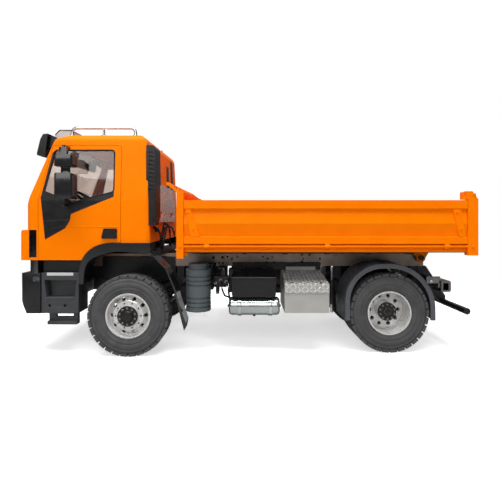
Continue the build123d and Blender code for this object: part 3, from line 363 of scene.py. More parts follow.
def ring_tree():
    """Blocks set round the Y axis through Centre, such as the tread blocks of a tyre."""
    tree, inputs = new_tree("ring_of_blocks", [
        ("Count", "Int"), ("Radius", "Float"), ("Offset", "Float"), ("Size", "Vector"), ("Phase", "Float"),
        ("Skew", "Float"), ("Centre", "Vector")])
    line = add(tree, "GeometryNodeMeshLine", inputs={"Count": inputs["Count"], "Offset": (0, 0, 0)})
    cube = add(tree, "GeometryNodeMeshCube", inputs={"Size": inputs["Size"]})
    skewed = add(tree, "ShaderNodeCombineXYZ", inputs={"Z": inputs["Skew"]})
    seat = add(tree, "ShaderNodeCombineXYZ", inputs={"Y": inputs["Offset"], "Z": inputs["Radius"]})
    placed = add(tree, "GeometryNodeTransform", inputs={
        "Geometry": cube.outputs["Mesh"], "Translation": seat.outputs[0], "Rotation": skewed.outputs[0]})
    index = add(tree, "GeometryNodeInputIndex")
    step = add(tree, "ShaderNodeMath", {"operation": "DIVIDE"}, {0: tau, 1: inputs["Count"]})
    turn = add(tree, "ShaderNodeMath", {"operation": "MULTIPLY_ADD"}, {
        0: index.outputs[0], 1: step.outputs[0], 2: inputs["Phase"]})
    turned = add(tree, "ShaderNodeCombineXYZ", inputs={"Y": turn.outputs[0]})
    ring = add(tree, "GeometryNodeInstanceOnPoints", inputs={
        "Points": line.outputs["Mesh"], "Instance": placed.outputs[0], "Rotation": turned.outputs[0]})
    moved = add(tree, "GeometryNodeTransform", inputs={
        "Geometry": ring.outputs[0], "Translation": inputs["Centre"]})
    return end_tree(tree, inputs, moved.outputs[0])


def head_tree():
    """A round or many-sided head on each point of the mesh, standing along the point's normal."""
    tree, inputs = new_tree("fastener_heads", [("Radius", "Float"), ("Height", "Float"), ("Sides", "Int")])
    head = add(tree, "GeometryNodeMeshCylinder", inputs={
        "Vertices": inputs["Sides"], "Radius": inputs["Radius"], "Depth": inputs["Height"]})
    normal = add(tree, "GeometryNodeInputNamedAttribute", {"data_type": "FLOAT_VECTOR"}, {"Name": "facing"})
    turn = add(tree, "FunctionNodeAlignRotationToVector", {"axis": "Z"}, {"Vector": normal.outputs[0]})
    stood = add(tree, "GeometryNodeInstanceOnPoints", inputs={
        "Points": inputs["Geometry"], "Instance": head.outputs["Mesh"], "Rotation": turn.outputs[0]})
    return end_tree(tree, inputs, stood.outputs[0])


def checker_tree():
    """Lozenges that lean left and right by turns, as on checker plate. Turn and Place seat the sheet."""
    tree, inputs = new_tree("checker_plate", [
        ("Length", "Float"), ("Width", "Float"), ("Columns", "Int"), ("Rows", "Int"), ("Lozenge", "Vector"),
        ("Turn", "Vector"), ("Place", "Vector")])
    grid = add(tree, "GeometryNodeMeshGrid", inputs={
        "Size X": inputs["Length"], "Size Y": inputs["Width"], "Vertices X": inputs["Columns"],
        "Vertices Y": inputs["Rows"]})
    bead = add(tree, "GeometryNodeMeshUVSphere", inputs={"Segments": 8, "Rings": 4, "Radius": 1.0})
    index = add(tree, "GeometryNodeInputIndex")
    share = add(tree, "ShaderNodeMath", {"operation": "DIVIDE"}, {0: index.outputs[0], 1: inputs["Rows"]})
    column = add(tree, "ShaderNodeMath", {"operation": "FLOOR"}, {0: share.outputs[0]})
    row = add(tree, "ShaderNodeMath", {"operation": "MODULO"}, {0: index.outputs[0], 1: inputs["Rows"]})
    both = add(tree, "ShaderNodeMath", {"operation": "ADD"}, {0: column.outputs[0], 1: row.outputs[0]})
    parity = add(tree, "ShaderNodeMath", {"operation": "MODULO"}, {0: both.outputs[0], 1: 2.0})
    angle = add(tree, "ShaderNodeMath", {"operation": "MULTIPLY_ADD"}, {
        0: parity.outputs[0], 1: pi / 2, 2: -pi / 4})
    turned = add(tree, "ShaderNodeCombineXYZ", inputs={"Z": angle.outputs[0]})
    beads = add(tree, "GeometryNodeInstanceOnPoints", inputs={
        "Points": grid.outputs["Mesh"], "Instance": bead.outputs["Mesh"], "Rotation": turned.outputs[0],
        "Scale": inputs["Lozenge"]})
    placed = add(tree, "GeometryNodeTransform", inputs={
        "Geometry": beads.outputs[0], "Translation": inputs["Place"], "Rotation": inputs["Turn"]})
    return end_tree(tree, inputs, placed.outputs[0])


CHECKER_TREE = checker_tree()
RING_TREE = ring_tree()
HEAD_TREE = head_tree()


def grown(name, tree, values, material, body, points=(), edge=0.0):
    """A piece grown by a tree from its named values. points are (place, facing) pairs in millimetres."""
    mesh = bpy.data.meshes.new(name)
    if points:
        mesh.from_pydata([[c * MM for c in place] for place, facing in points], [], [])
        facing = mesh.attributes.new("facing", "FLOAT_VECTOR", "POINT")
        facing.data.foreach_set("vector", [c for place, direction in points for c in direction])
    obj = bpy.data.objects.new(name, mesh)
    bpy.context.scene.collection.objects.link(obj)
    growth = obj.modifiers.new("Grown", "NODES")
    growth.node_group = tree
    values = dict(values, Finish=material)
    for item in tree.interface.items_tree:
        if item.item_type == "SOCKET" and item.in_out == "INPUT" and item.name in values:
            growth[item.identifier] = values[item.name]
    if edge:
        rounding = obj.modifiers.new("Rounded edges", "BEVEL")
        rounding.width = edge * MM
        rounding.segments = 1
        rounding.angle_limit = radians(50)
    return settle(obj, material, body)


def heads(name, points, radius, height, sides, material, body, edge=0.0):
    """Screw heads, nuts or rivets at (place, facing) points in millimetres."""
    sizes = {"Radius": radius * MM, "Height": height * MM, "Sides": sides}
    return grown(name, HEAD_TREE, sizes, material, body, points, edge)


# Makers of pieces


def softened(node, material, body, edge, segments=2):
    """A copy of a CAD node with its sharp edges rounded, in the node's place."""
    bm = bmesh.new()
    bm.from_mesh(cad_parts[node].data)
    bmesh.ops.remove_doubles(bm, verts=bm.verts, dist=2e-6)
    bmesh.ops.dissolve_limit(bm, angle_limit=radians(0.6), verts=bm.verts, edges=bm.edges)
    bmesh.ops.scale(bm, vec=(1 / MM, 1 / MM, 1 / MM), verts=bm.verts)
    return piece(node + "_shell", bm, material, body, (node,), edge, segments, angle=40.0)


def blocks(name, boxes, material, body, sign=1, edge=0.2, both=False):
    """One piece made of boxes, each x0, x1, y0, y1, z0, z1. It can be flipped, or set on both sides."""
    bm = bmesh.new()
    for box in boxes:
        block(bm, *box)
    if both:
        mirrored(bm)
    return piece(name, flipped(bm, sign), material, body, edge=edge, segments=1)


def tubes(name, paths, radius, material, body, sign=1, both=False, sides=10):
    """One piece made of round bars that follow paths."""
    bm = bmesh.new()
    for path in paths:
        tube(bm, path, radius, sides)
    if both:
        mirrored(bm)
    return piece(name, flipped(bm, sign), material, body)


# Places for pieces


def on_side(places, y, sign):
    """Fastener points at (x, z) places, y out from the middle, that face the left for sign 1."""
    return [((x, sign * y, z), (0, sign, 0)) for x, z in places]


def on_ring(centre_x, radius, count, phase=0.0):
    """The (x, z) places of fasteners in a circle round a wheel's axis."""
    steps = [phase + i * tau / count for i in range(count)]
    return [(centre_x + radius * cos(a), AXLE_Z + radius * sin(a)) for a in steps]


def side_point(x, z, out):
    """A point out from the cab's left side wall, which leans inwards above the sill."""
    lean = max(z - SILL_Z, 0) * (CAB_HALF - CAB_ROOF_HALF) / (ROOF_Z - SILL_Z)
    return (x, CAB_HALF - lean + out, z)


def screen_point(y, up, out):
    """A point out from the windscreen, up along it from its lower edge."""
    return (SCREEN_X - SCREEN_SIN * up + SCREEN_COS * out, y, SCREEN_Z + SCREEN_COS * up + SCREEN_SIN * out)


def rear_wall_x(z):
    """Where the cab's rear wall, which leans forward, stands at a height."""
    return CAB_REAR_X + CAB_REAR_LEAN * (z - CAB_BASE_Z) / (ROOF_Z - CAB_BASE_Z)


def arch_ribs(x_front, x_back, top, radius_front, radius_back, pitch):
    """Places and leans of ribs along an arch: x, z and the angle of the outward direction from +X."""
    rows = []
    x, z = x_front - radius_front, top - radius_front
    for i in range(int(radius_front * pi / 2 / pitch)):
        a = i * pitch / radius_front
        rows.append((x + radius_front * cos(a), z + radius_front * sin(a), a))
    x, z = x_back + radius_back, top - radius_back
    for i in range(int(radius_back * pi / 2 / pitch) + 1):
        a = pi / 2 + i * pitch / radius_back
        rows.append((x + radius_back * cos(a), z + radius_back * sin(a), a))
    return rows


# Finishes of the CAD nodes
node_finishes = {
    CAB_ENAMEL: ["cab_shell", "front_panel", "door_left", "door_right"],
    BODY_ENAMEL: ["bed_floor", "bed_posts", "headboard", "side_board_left", "side_board_right", "tailgate"],
    GLOSS_ABS: ["front_fenders"],
    BLACK_ABS: ["air_intake", "dashboard", "door_trim_left", "door_trim_right", "grille",
                "sun_visor", "battery_box", "underrun_bar", "drop_arms"],
    NICKEL: ["rear_lights"],
    GREY_NYLON: ["fuel_tank"],
    # The mudguards stand in shade under the bed: their lighter grey is painted light
    MUDGUARD_NYLON_PAINTED_LIGHTER: ["rear_mudguards"],
    FILTER_ABS: ["air_filter"],
    OPAL_ACRYLIC: ["roof_light_box"],
    FRAME_ALUMINIUM: ["frame_rails"],
    PLATE_ALUMINIUM: ["tool_box"],
    # The cab's rear plate stands in shade behind the cab: its near-white finish is painted light
    PALE_ALUMINIUM_AND_PAINTED_LIGHT: ["rear_wall_plate"],
    TANK_ALUMINIUM: ["air_tank"],
    STAINLESS: ["roof_rack", "hoist_rod"],
    BLACK_STEEL: ["cross_members", "front_axle", "hoist_barrel", "knuckle_left", "knuckle_right",
                  "leaf_springs", "motor_and_gearbox", "propeller_shafts", "rear_axle", "track_rod"],
    CABIN_ABS: ["seats"],
    CAB_GLASS: ["door_glass_left", "door_glass_right", "windscreen"],
    SMOKED_LENS: ["headlights"],
    RUBBER: ["front_tyre_left", "front_tyre_right", "rear_tyres_left", "rear_tyres_right"],
    turned_aluminium("turned_front_rim", AXLES["front"]): ["front_rim_left", "front_rim_right"],
    turned_aluminium("turned_rear_rim", AXLES["rear"]): ["rear_rims_left", "rear_rims_right"],
}
for material, names in node_finishes.items():
    for name in names:
        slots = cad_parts[name].data.materials
        slots.clear()
        slots.append(material)

# Moulded pieces whose edges are rounded: the copies stand in for the CAD nodes
softened("door_steps", GREY_NYLON, "root", 0.9)
softened("bumper", BLACK_ABS, "root", 0.8)
for side, _ in SIDES:
    softened(f"mirrors_{side}", GLOSS_ABS, f"door_{side}", 2.4, 3)

# Tyres: a casing with its tread blocks
TYRE_RADIUS = AXLE_Z    # the wheels stand on the ground
TREAD_DEPTH = 2.7
LUG_COUNT = 30
LUG_ROOT = 0.5          # what a block has besides the tread's depth, to reach into the casing
LUG_SINK = 0.38         # keeps the corners of the flat blocks above the ground
TWIN_GAP = 1.8          # between the two tyres on one end of the rear axle


def tyre_body(bm, centre_x, y0, y1):
    """The tyre's casing between y0 and y1: bead, ridged sidewalls and the floor of the tread."""
    floor = TYRE_RADIUS - TREAD_DEPTH
    side = [  # radius, and depth from the tyre's widest plane
        (23.7, 2.0), (25.0, 0.9), (26.2, 1.1), (26.6, 0.7), (29.5, 0.25), (29.8, 0.45), (30.2, 0.2),
        (35.0, 0.0), (35.3, 0.3), (35.8, 0.3), (36.2, 0.1), (38.6, 0.7), (38.9, 1.3), (floor, 2.0)]
    profile = [(r, y0 + depth) for r, depth in side] + [(r, y1 - depth) for r, depth in reversed(side)]
    lathe(bm, profile, (centre_x, AXLE_Z), 120)


def tread(name, centre_x, y0, width, body):
    """The tread blocks of one tyre: a row on each shoulder and two rows between them."""
    share = tau / LUG_COUNT
    pitch = share * TYRE_RADIUS
    rows = [  # middle and block width as shares of the width, length as a share of the pitch, phase, skew
        (0.155, 0.245, 0.84, 0.0, 0.0), (0.385, 0.185, 0.72, 0.5, 0.35),
        (0.615, 0.185, 0.72, 0.0, -0.35), (0.845, 0.245, 0.84, 0.5, 0.0)]
    for i, (middle, across, length, phase, skew) in enumerate(rows):
        sizes = {
            "Count": LUG_COUNT, "Radius": (TYRE_RADIUS - TREAD_DEPTH / 2 - LUG_SINK) * MM,
            "Offset": (y0 + middle * width) * MM,
            "Size": (length * pitch * MM, across * width * MM, (TREAD_DEPTH + LUG_ROOT) * MM),
            "Phase": phase * share, "Skew": skew, "Centre": (centre_x * MM, 0, AXLE_Z * MM)}
        grown(f"{name}_tread_{i}", RING_TREE, sizes, RUBBER, body, edge=0.35)


for side, _ in SIDES:
    for name, axle, body in (("front_tyre", "front", f"wheel_front_{side}"),
                             ("rear_tyres", "rear", f"wheels_rear_{side}")):
        node = f"{name}_{side}"
        low, high = node_box(node)
        spans = [(low.y, high.y)]
        if axle == "rear":
            width = (high.y - low.y - TWIN_GAP) / 2
            spans = [(low.y, low.y + width), (high.y - width, high.y)]
        bm = bmesh.new()
        for y0, y1 in spans:
            tyre_body(bm, AXLES[axle], y0, y1)
        piece(node + "_casing", bm, RUBBER, body, (node,), angle=50.0)
        for i, (y0, y1) in enumerate(spans):
            tread(f"{node}_{i}", AXLES[axle], y0, y1 - y0, body)

# Hubs: a black cover with nuts round a cap, and a tyre valve through the rim's disc
hubs = {  # outer and cap radius, y of the cover's face and the cap's end, nuts, nut circle, y of the valve
    "front": (10.7, 5.7, 89.3, 92.0, 10, 8.3, (84.0, 89.6)),
    "rear": (10.1, 3.7, 68.0, 70.2, 10, 8.1, (58.0, 70.0))}
for axle, (outer, cap, face_y, cap_y, nuts, nut_ring, valve_span) in hubs.items():
    for side, sign in SIDES:
        body = f"wheel_front_{side}" if axle == "front" else f"wheels_rear_{side}"
        centre = AXLES[axle]
        bm = bmesh.new()
        lathe(bm, [(0.001, face_y - 0.6), (outer, face_y - 0.6), (outer, face_y + 0.4),
                   (outer - 0.4, face_y + 0.7), (cap + 0.4, face_y + 0.7), (cap + 0.1, cap_y - 1.0),
                   (cap - 0.6, cap_y - 0.2), (cap - 2.2, cap_y + 0.2), (0.001, cap_y + 0.3)],
              (centre, AXLE_Z), 64)
        piece(f"hub_cover_{axle}_{side}", flipped(bm, sign), BLACK_ABS, body, angle=25.0)
        nut_places = on_ring(centre, nut_ring, nuts, 0.3)
        heads(f"hub_nuts_{axle}_{side}", on_side(nut_places, face_y + 1.1, sign), 1.15, 1.4, 6,
              NICKEL, body, edge=0.15)
        if axle == "front":
            screw_places = on_ring(centre, 13.2, 10)
            heads(f"rim_screws_{side}", on_side(screw_places, 87.0, sign), 0.75, 0.5, 12,
                  BLACK_STEEL, body)
        stem = [(centre + 12.5, y, AXLE_Z + 15.5) for y in valve_span]
        tubes(f"valve_{axle}_{side}", [stem], 0.7, NICKEL, body, sign)

# Tool box: checker plate on the lid and its skirt, with two screws in the lid
LOZENGE = (2.3 * MM, 0.5 * MM, 0.42 * MM)   # half of its length, width and height
checker_sheets = [  # name, length, width, columns, rows, turn about X, place
    ("lid", 42.0, 46.0, 11, 12, -0.162, (-62.05, 60.2, 79.55)),
    ("skirt", 42.0, 6.6, 11, 3, -pi / 2, (-62.05, 85.75, 70.8))]
for name, length, width, columns, rows, turn, place in checker_sheets:
    grown(f"tool_box_checker_{name}", CHECKER_TREE, {
        "Length": length * MM, "Width": width * MM, "Columns": columns, "Rows": rows, "Lozenge": LOZENGE,
        "Turn": (turn, 0, 0), "Place": [c * MM for c in place]}, PALE_ALUMINIUM_AND_PAINTED_LIGHT, "root")
heads("tool_box_screws", [((x, 83.0, 76.2), (0, 0.16, 0.99)) for x in (-77.0, -46.0)], 1.1, 0.9, 16,
      BLACK_STEEL, "root")

# Air tank: thin bright straps and black end fittings
TANK_Y, TANK_Z, STRAP_RADIUS = 70, 49.4, 10.6
strap_steps = [i * tau / 48 for i in range(48)]
strap = [(TANK_Y + STRAP_RADIUS * cos(a), TANK_Z + STRAP_RADIUS * sin(a)) for a in strap_steps]
bm = bmesh.new()
for x in (-24.0, 9.0):
    prism(bm, strap, "X", x - 1.6, x + 1.6)
piece("air_tank_straps", bm, STAINLESS, "root", edge=0.2)
fittings = [  # x and z of both ends
    (-35.6, TANK_Z, -33.4, TANK_Z), (20.0, TANK_Z, 22.0, TANK_Z), (-6.8, 38.2, -6.8, 40.4)]
tubes("air_tank_fittings", [[(x0, TANK_Y, z0), (x1, TANK_Y, z1)] for x0, z0, x1, z1 in fittings], 1.5,
      BLACK_STEEL, "root")

# Battery box: the seam under its lid
blocks("battery_box_lid_seam", [(-30.1, 17.5, 79.7, 80.4, 78.8, 79.5)], SOFT_BLACK, "root")

# Valve block ahead of the battery box, with its unions and pipes
blocks("valve_block", [(22, 38, 50, 60, 70, 80), (25, 30, 52, 58, 80, 86), (32, 36, 52, 58, 62, 70),
                       (26, 34, 30, 51, 86, 89)], BLACK_STEEL, "root", edge=0.4)
tubes("valve_unions", [[(24, 60, 74), (24, 63, 74)], [(30, 60, 76), (30, 63.5, 76)],
                       [(36, 60, 73), (36, 63, 73)], [(27.5, 55, 86), (27.5, 55, 88.4)],
                       [(34, 55, 59.5), (34, 55, 62)]], 1.9, NICKEL, "root")
tubes("valve_pipes", [[(24, 63, 74), (22.5, 64, 72), (21.5, 63, 64), (20.5, 60, 56), (20.0, 52, 52)],
                      [(30, 63.5, 76), (29, 65, 73), (28.5, 64, 66), (26, 58, 58), (20, 50, 54)],
                      [(36, 63, 73), (38.5, 63, 76), (39.5, 56, 84), (38, 40, 92)]], 1.0,
      SOFT_BLACK, "root")

# What stands in the dark beside the rails: brackets, a liner over each front wheel and a crossbar
blocks("side_box_brackets", [(10, 22, 30.5, 50, 60, 86), (-86, 18, 30.5, 33.5, 84, 92),
                             (40, 62, 30.5, 44, 62, 92)], BLACK_STEEL, "root", both=True)
blocks("wheel_arch_liner", [(86, 172, 31.0, 33.5, 72, 99)], BLACK_ABS, "root", both=True)
blocks("cab_crossbar", [(97, 103, -60, 60, 103, 111)], BLACK_STEEL, "root", edge=0.4)

# Brake drums within the rims
for side, sign in SIDES:
    for axle, y0, y1, body in (("front", 69.0, 80.0, f"knuckle_{side}"), ("rear", 36.0, 54.0, "root")):
        bm = bmesh.new()
        lathe(bm, [(9.0, y0), (17.6, y0), (18.2, y0 + 0.6), (18.2, y1 - 0.6), (17.6, y1), (9.0, y1)],
              (AXLES[axle], AXLE_Z), 48)
        piece(f"brake_drum_{axle}_{side}", flipped(bm, sign), BLACK_STEEL, body, angle=25.0)

# Dampers ahead of the rear wheels: a body with its rod below and above
damper_low, body_low, body_high, damper_high = [(-98.5, 36, z) for z in (34, 44, 72, 87.0)]
tubes("damper_body", [[body_low, body_high]], 3.5, BLACK_STEEL, "root", sides=20, both=True)
tubes("damper_rod", [[damper_low, body_low], [body_high, damper_high]], 1.8, STAINLESS, "root",
      both=True)

# Behind the cab: a coiled line, and pipes with their unions in the wall
WALL_X = 105.6
COIL_RADIUS, COIL_STEP = 2.6, 0.7       # millimetres, and radians from one point to the next
coil = []
for i in range(90):
    x, z = COIL_RADIUS * cos(i * COIL_STEP), COIL_RADIUS * sin(i * COIL_STEP)
    coil.append((98.0 + x, 30 + 0.28 * i, 137 - 0.26 * i + z))
pipe_ends = ((62, 134), (56, 131), (10, 138), (-18, 134))   # y and z on the wall
tubes("cab_coil_line", [coil], 0.7, SOFT_BLACK, "root", sides=8)
tubes("cab_pipes", [[(WALL_X, y, z), (100, y, z - 1), (97, y, z - 8), (97, y - 4, 112), (99, y - 10, 104)]
                    for y, z in pipe_ends], 1.2, SOFT_BLACK, "root")
tubes("cab_pipe_unions", [[(WALL_X, y, z), (102.6, y, z)] for y, z in pipe_ends], 1.9,
      BLACK_STEEL, "root")

# Bolts in the web of both rails: x and z
RAIL_BOLT_Y = 30.3
rail_bolts = [(-64.5, 101.0), (-64.5, 93.0), (-73.5, 101.0)]
for side, sign in SIDES:
    heads(f"rail_bolts_{side}", on_side(rail_bolts, RAIL_BOLT_Y, sign), 1.4, 1.0, 6,
          BLACK_STEEL, "root", edge=0.2)

# Dark underside of the load floor: a sheet, and covers on its long bearers and its cross bearers
dark_boxes = [(-229.5, 65.5, -87.6, 87.6, 108.5, 109.05)]
for sign in (1, -1):
    y0, y1 = sorted((sign * 21.85, sign * 29.15))
    dark_boxes.append((-190.1, 66.4, y0, y1, 102.95, 108.6))
    for x in range(-172, 49, 44):
        y0, y1 = sorted((sign * 29.0, sign * 80.2))
        dark_boxes.append((x - 2.15, x + 2.15, y0, y1, 106.05, 108.6))
blocks("bed_underside", dark_boxes, DARK_PLATE, "tipper_body", edge=0.0)

# Bolt heads at the ends of the drop sides, painted over
board_bolts = [(-219.6, 133.2), (56.6, 133.2), (-215.6, 150.5), (62.0, 150.5)]
for side, sign in SIDES:
    heads(f"board_bolts_{side}", on_side(board_bolts, BODY_BOLT_Y, sign), 1.3, 0.8, 16,
          BODY_ENAMEL, f"side_board_{side}", edge=0.2)

# Corner posts: heads of the tailgate's pins and ends of the hinge rods. Floor: a strip along its edge
post_pins = [(-233.6, 168.7), (70.2, 115), (-232.3, 115)]
for side, sign in SIDES:
    heads(f"post_pins_{side}", on_side(post_pins, BODY_BOLT_Y, sign), 1.5, 0.8, 16,
          BODY_ENAMEL, "tipper_body", edge=0.2)
blocks("floor_edge_strip", [(-226.4, 66.0, 87.5, 88.35, 109.9, 111.7)], BODY_ENAMEL, "tipper_body",
       both=True)

# Rear lights: a bracket, a side lamp with a pale rim and a grey face, a bolt, and three lenses that face back
rear_lenses = [(62.6, 68.6, RED_LENS), (69.0, 75.0, AMBER_LENS), (75.4, 81.4, RED_LENS)]
for side, sign in SIDES:
    blocks(f"rear_lamp_bracket_{side}", [(-204.6, -190.0, 78.6, 80.0, 75.0, 82.5),
                                         (-204.6, -202.4, 60.5, 80.0, 70.5, 77.5)],
           NICKEL, "root", sign, edge=0.5)
    blocks(f"rear_lamp_rim_{side}", [(-214.0, -204.6, 79.9, 81.7, 66.6, 77.8)],
           OPAL_ACRYLIC, "root", sign, edge=0.6)
    blocks(f"rear_lamp_face_{side}", [(-212.6, -206.0, 81.0, 82.0, 67.8, 76.2)],
           GREY_NYLON, "root", sign, edge=0.4)
    heads(f"rear_lamp_bolt_{side}", on_side([(-194.5, 77.5)], 80.8, sign), 1.6, 0.9, 6,
          STAINLESS, "root", edge=0.2)
    for i, (y0, y1, lens) in enumerate(rear_lenses):
        blocks(f"rear_lens_{side}_{i}", [(-215.2, -213.9, y0, y1, 67.4, 77.0)],
               lens, "root", sign, edge=0.4)

# Door steps: a pale pad, a grip strip and studs on the tread, with the valance under the door behind them
STUD_PITCH = 2.6
for side, sign in SIDES:
    blocks(f"step_pad_{side}", [(184.5, 212.5, 81.5, 82.4, 83.6, 86.8)],
           PALE_PAD, "root", sign)
    blocks(f"step_strip_{side}", [(183, 214, 81.5, 82.3, 58.2, 60.8)],
           GREY_NYLON, "root", sign)
    blocks(f"door_valance_{side}", [(178.6, 219.0, 72.5, 76.5, 86.9, 99.7)],
           BLACK_ABS, "root", sign)
    studs = [((183 + STUD_PITCH * i, sign * y, 35.7), (0, 0, 1)) for i in range(12) for y in (76.0, 79.5)]
    heads(f"step_studs_{side}", studs, 0.55, 0.4, 8, BLACK_ABS, "root")

# Bumper: side markers and a seam bead
for side, sign in SIDES:
    blocks(f"side_marker_{side}", [(220.4, 227.0, 81.6, 82.6, 77.5, 82.8)], CLEAR_LENS, "root",
           sign)
BEAD_Z = 50.3
bead = [(x, y, BEAD_Z) for x, y in ((219.8, 82.0), (232.5, 82.0), (235.6, 80.2), (236.7, 77.0), (236.7, 0))]
tubes("bumper_bead", [bead], 0.45, BLACK_ABS, "root", both=True)

# Headlamp insides: a dark tub with three dark reflectors, behind the smoked lens
reflectors = [(227.6, z) for z in (110.0, 118.0, 126.0)]
for side, sign in SIDES:
    blocks(f"lamp_tub_{side}", [(222.6, 232.0, 66.5, 78.6, 103.5, 131.5)], BLACK_ABS, "root",
           sign)
    heads(f"lamp_reflectors_{side}", on_side(reflectors, 78.8, sign), 2.2, 0.5, 24,
          DARK_PLATE, "root", edge=0.2)

# Roof: lid of the light box and feet of the rack
lid_outline = [(195.0, 241.3), (195.2, 242.2), (208.4, 242.2), (213.4, 236.9), (213.1, 236.0), (207.6, 241.4)]
bm = bmesh.new()
prism(bm, lid_outline, "Y", -63.4, 63.4)
piece("light_box_lid", bm, BLACK_ABS, "root", edge=0.15)
feet = [((x, sign * 66.0, 234.9), (0, 0, 1)) for x in (123.4, 158.0, 192.7) for sign in (1, -1)]
heads("rack_feet", feet, 3.0, 1.0, 20, STAINLESS, "root", edge=0.3)

# Windscreen wipers, parked along its lower edge: an arm and a blade each
wiper_paths = []
for pivot_y, tip_y in ((46.0, -4.0), (-6.0, -56.0)):
    wiper_paths.append([screen_point(pivot_y, -1, 0.2), screen_point(pivot_y, -1, 2.0),
                        screen_point((pivot_y + tip_y) / 2, 6, 2.6), screen_point(tip_y + 6, 9, 2.0)])
    wiper_paths.append([screen_point(pivot_y - 4, 6.5, 1.3), screen_point(tip_y, 10.5, 1.3)])
tubes("wipers", wiper_paths, 0.6, BLACK_ABS, "root")

# Windows in the cab's rear wall: panes in rubber, two on either side
rear_windows = [(19.0, 31.0, 184.0, 212.0), (47.0, 59.0, 186.0, 222.0)]     # y and z spans
for name, material, grow, depth in (("rear_panes", GLOSS_ABS, 0.0, 0.6),
                                    ("rear_pane_rubbers", SOFT_BLACK, 1.2, 0.35)):
    bm = bmesh.new()
    for y0, y1, z0, z1 in rear_windows:
        low, high = rear_wall_x(z0 - grow), rear_wall_x(z1 + grow)
        prism(bm, [(low - depth, z0 - grow), (low + 0.5, z0 - grow), (high + 0.5, z1 + grow),
                   (high - depth, z1 + grow)], "Y", y0 - grow, y1 + grow)
    mirrored(bm)
    piece(name, bm, material, "root", edge=0.15)

# Doors: glazing rubber, press line, trim creases and mirror glass
window_edge = [(142, 175), (142.7, 173.0), (144.5, 171.9), (186, 161.2), (215.6, 173.1), (205.8, 215.4),
               (204.0, 217), (145.0, 217), (142.8, 216.2), (142, 214), (142, 175)]
crease_lines = [
    [(146.5, 165.6), (187.6, 149.8)], [(188.6, 143), (216.4, 141.5)], [(190.5, 138), (215.6, 131)]]
mirror_spans = ((166.5, 188), (199, 207))
PRESS_LINE_Z = 135.2
for side, sign in SIDES:
    body = f"door_{side}"
    tubes(f"window_rubber_{side}", [[side_point(x, z, -0.1) for x, z in window_edge]], 0.75,
          SOFT_BLACK, body, sign)
    tubes(f"door_press_line_{side}", [[side_point(x, PRESS_LINE_Z, -0.35) for x in (135.5, 192.5)]], 0.6,
          CAB_ENAMEL, body, sign)
    tubes(f"trim_creases_{side}", [[side_point(x, z, -0.2) for x, z in line] for line in crease_lines], 0.4,
          GLOSS_ABS, body, sign)
    blocks(f"mirror_glass_{side}", [(177.6, 178.1, 88.0, 98.0, z0, z1) for z0, z1 in mirror_spans],
           MIRROR, body, sign, edge=0.1)

# Rear mudguards: ribs across the top of the sheet
rib_profile = [(-0.4, -0.8), (0.55, -0.5), (0.55, 0.5), (-0.4, 0.8)]    # outwards, and along the sheet
ribs = arch_ribs(x_front=-104.1, x_back=-200.2, top=95.5, radius_front=40.0, radius_back=48.0, pitch=3.6)
bm = bmesh.new()
for x, z, angle in ribs:
    out, along = Vector((cos(angle), 0, sin(angle))), Vector((-sin(angle), 0, cos(angle)))
    corners = [Vector((x, 0, z)) + out * d + along * w for d, w in rib_profile]
    prism(bm, [(c.x, c.z) for c in corners], "Y", 37.5, 75.5)
mirrored(bm)
piece("mudguard_ribs", bm, MUDGUARD_NYLON_PAINTED_LIGHTER, "root")


# Studio: a pale floor that runs to white, soft light from above and in front. Sizes here are in metres
FLOOR_GLOW = 0.6            # lifts the shadows that the camera sees on the floor
FLOOR_REACH = 6.0
WHITE_FROM, WHITE_AT = 0.26, 0.8    # where the floor begins to turn white, and where it is white
AIR = 0.12                  # light from all round


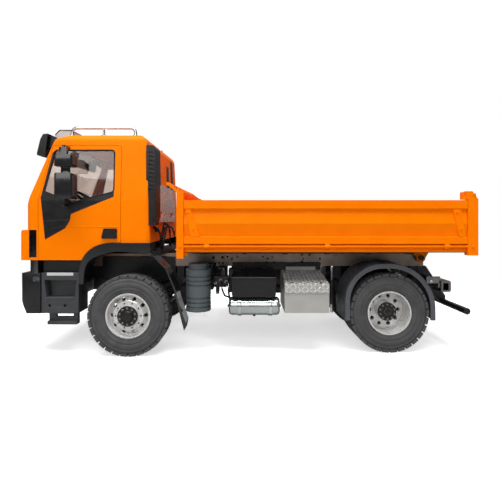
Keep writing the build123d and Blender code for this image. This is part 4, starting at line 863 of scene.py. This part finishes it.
def studio():
    """The floor, the light from all round and the softboxes."""
    floor_mesh = bpy.data.meshes.new("studio_floor")
    corners = [(x * FLOOR_REACH, y * FLOOR_REACH, 0) for x, y in ((-1, -1), (1, -1), (1, 1), (-1, 1))]
    floor_mesh.from_pydata(corners, [], [(0, 1, 2, 3)])
    floor = bpy.data.objects.new("studio_floor", floor_mesh)
    bpy.context.scene.collection.objects.link(floor)
    material, tree, shader, place = finish("matt_white_paper", "#F4F4F4", 0.95)
    shader.inputs["Specular IOR Level"].default_value = 0.1
    paths = add(tree, "ShaderNodeLightPath")
    seen = add(tree, "ShaderNodeMath", {"operation": "MAXIMUM"}, {
        0: paths.outputs["Is Camera Ray"], 1: paths.outputs["Is Transmission Ray"]})
    distance = add(tree, "ShaderNodeVectorMath", {"operation": "LENGTH"}, {0: place})
    away = add(tree, "ShaderNodeMapRange", {"interpolation_type": "SMOOTHSTEP"}, {
        "Value": distance.outputs["Value"], "From Min": WHITE_FROM, "From Max": WHITE_AT, "To Min": 0.0,
        "To Max": 1.0})
    share = add(tree, "ShaderNodeMath", {"operation": "MULTIPLY"}, {
        0: seen.outputs[0], 1: away.outputs["Result"]})
    white = add(tree, "ShaderNodeEmission", inputs={"Color": (1, 1, 1, 1), "Strength": 1.0})
    glow = add(tree, "ShaderNodeEmission", inputs={"Color": (1, 1, 1, 1), "Strength": FLOOR_GLOW})
    lifted = add(tree, "ShaderNodeAddShader", inputs={0: shader.outputs[0], 1: glow.outputs[0]})
    # What the floor throws back on the truck is greyer than what the camera sees
    grey_card = add(tree, "ShaderNodeBsdfDiffuse", inputs={"Color": linear("#B8B8B8")})
    near = add(tree, "ShaderNodeMixShader", inputs={
        0: seen.outputs[0], 1: grey_card.outputs[0], 2: lifted.outputs[0]})
    mixed = add(tree, "ShaderNodeMixShader", inputs={
        0: share.outputs[0], 1: near.outputs[0], 2: white.outputs[0]})
    tree.links.new(mixed.outputs[0], tree.nodes["Material Output"].inputs["Surface"])
    floor_mesh.materials.append(material)

    world = bpy.data.worlds.new("studio_air")
    bpy.context.scene.world = world
    world.use_nodes = True
    tree = world.node_tree
    paths = add(tree, "ShaderNodeLightPath")
    seen = add(tree, "ShaderNodeMath", {"operation": "MAXIMUM"}, {
        0: paths.outputs["Is Camera Ray"], 1: paths.outputs["Is Transmission Ray"]})
    strength = add(tree, "ShaderNodeMapRange", inputs={
        "Value": seen.outputs[0], "From Min": 0, "From Max": 1, "To Min": AIR, "To Max": 1.0})
    background = tree.nodes["Background"]
    background.inputs["Color"].default_value = (1, 1, 1, 1)
    tree.links.new(strength.outputs["Result"], background.inputs["Strength"])

    lamps = [  # name, place, what it points at, width, height, watts
        ("overhead_softbox", (0.1, 0.42, 1.35), (0, 0, 0.1), 1.2, 0.6, 26.0),
        ("front_softbox", (0.3, 1.4, 0.8), (0, 0, 0.12), 1.4, 0.6, 8.6),
        ("back_softbox", (-0.6, -1.3, 1.1), (0, 0, 0.12), 1.4, 1.0, 3.0)]
    for name, place, target, width, height, power in lamps:
        lamp = bpy.data.lights.new(name, "AREA")
        lamp.shape = "RECTANGLE"
        lamp.size, lamp.size_y, lamp.energy = width, height, power
        holder = bpy.data.objects.new(name, lamp)
        holder.location = place
        holder.rotation_euler = (Vector(target) - Vector(place)).to_track_quat("-Z", "Y").to_euler()
        bpy.context.scene.collection.objects.link(holder)


def camera():
    """The photograph's view: straight at the left side, close by, level."""
    frame_pixels = 500
    focal_pixels = 386.0
    centre_pixel = (247.0, 220.0)
    sensor = 36.0
    lens = bpy.data.cameras.new("photo_view")
    lens.sensor_width = sensor
    lens.lens = focal_pixels / frame_pixels * sensor
    lens.shift_x = (frame_pixels / 2 - centre_pixel[0]) / frame_pixels
    lens.shift_y = -(frame_pixels / 2 - centre_pixel[1]) / frame_pixels
    lens.clip_start = 0.01
    holder = bpy.data.objects.new("photo_view", lens)
    holder.location = (0.001, 0.490, 0.1425)
    holder.rotation_euler = (radians(90), 0, radians(180))
    bpy.context.scene.collection.objects.link(holder)
    bpy.context.scene.camera = holder


studio()
camera()
bpy.context.scene.view_settings.view_transform = "Standard"
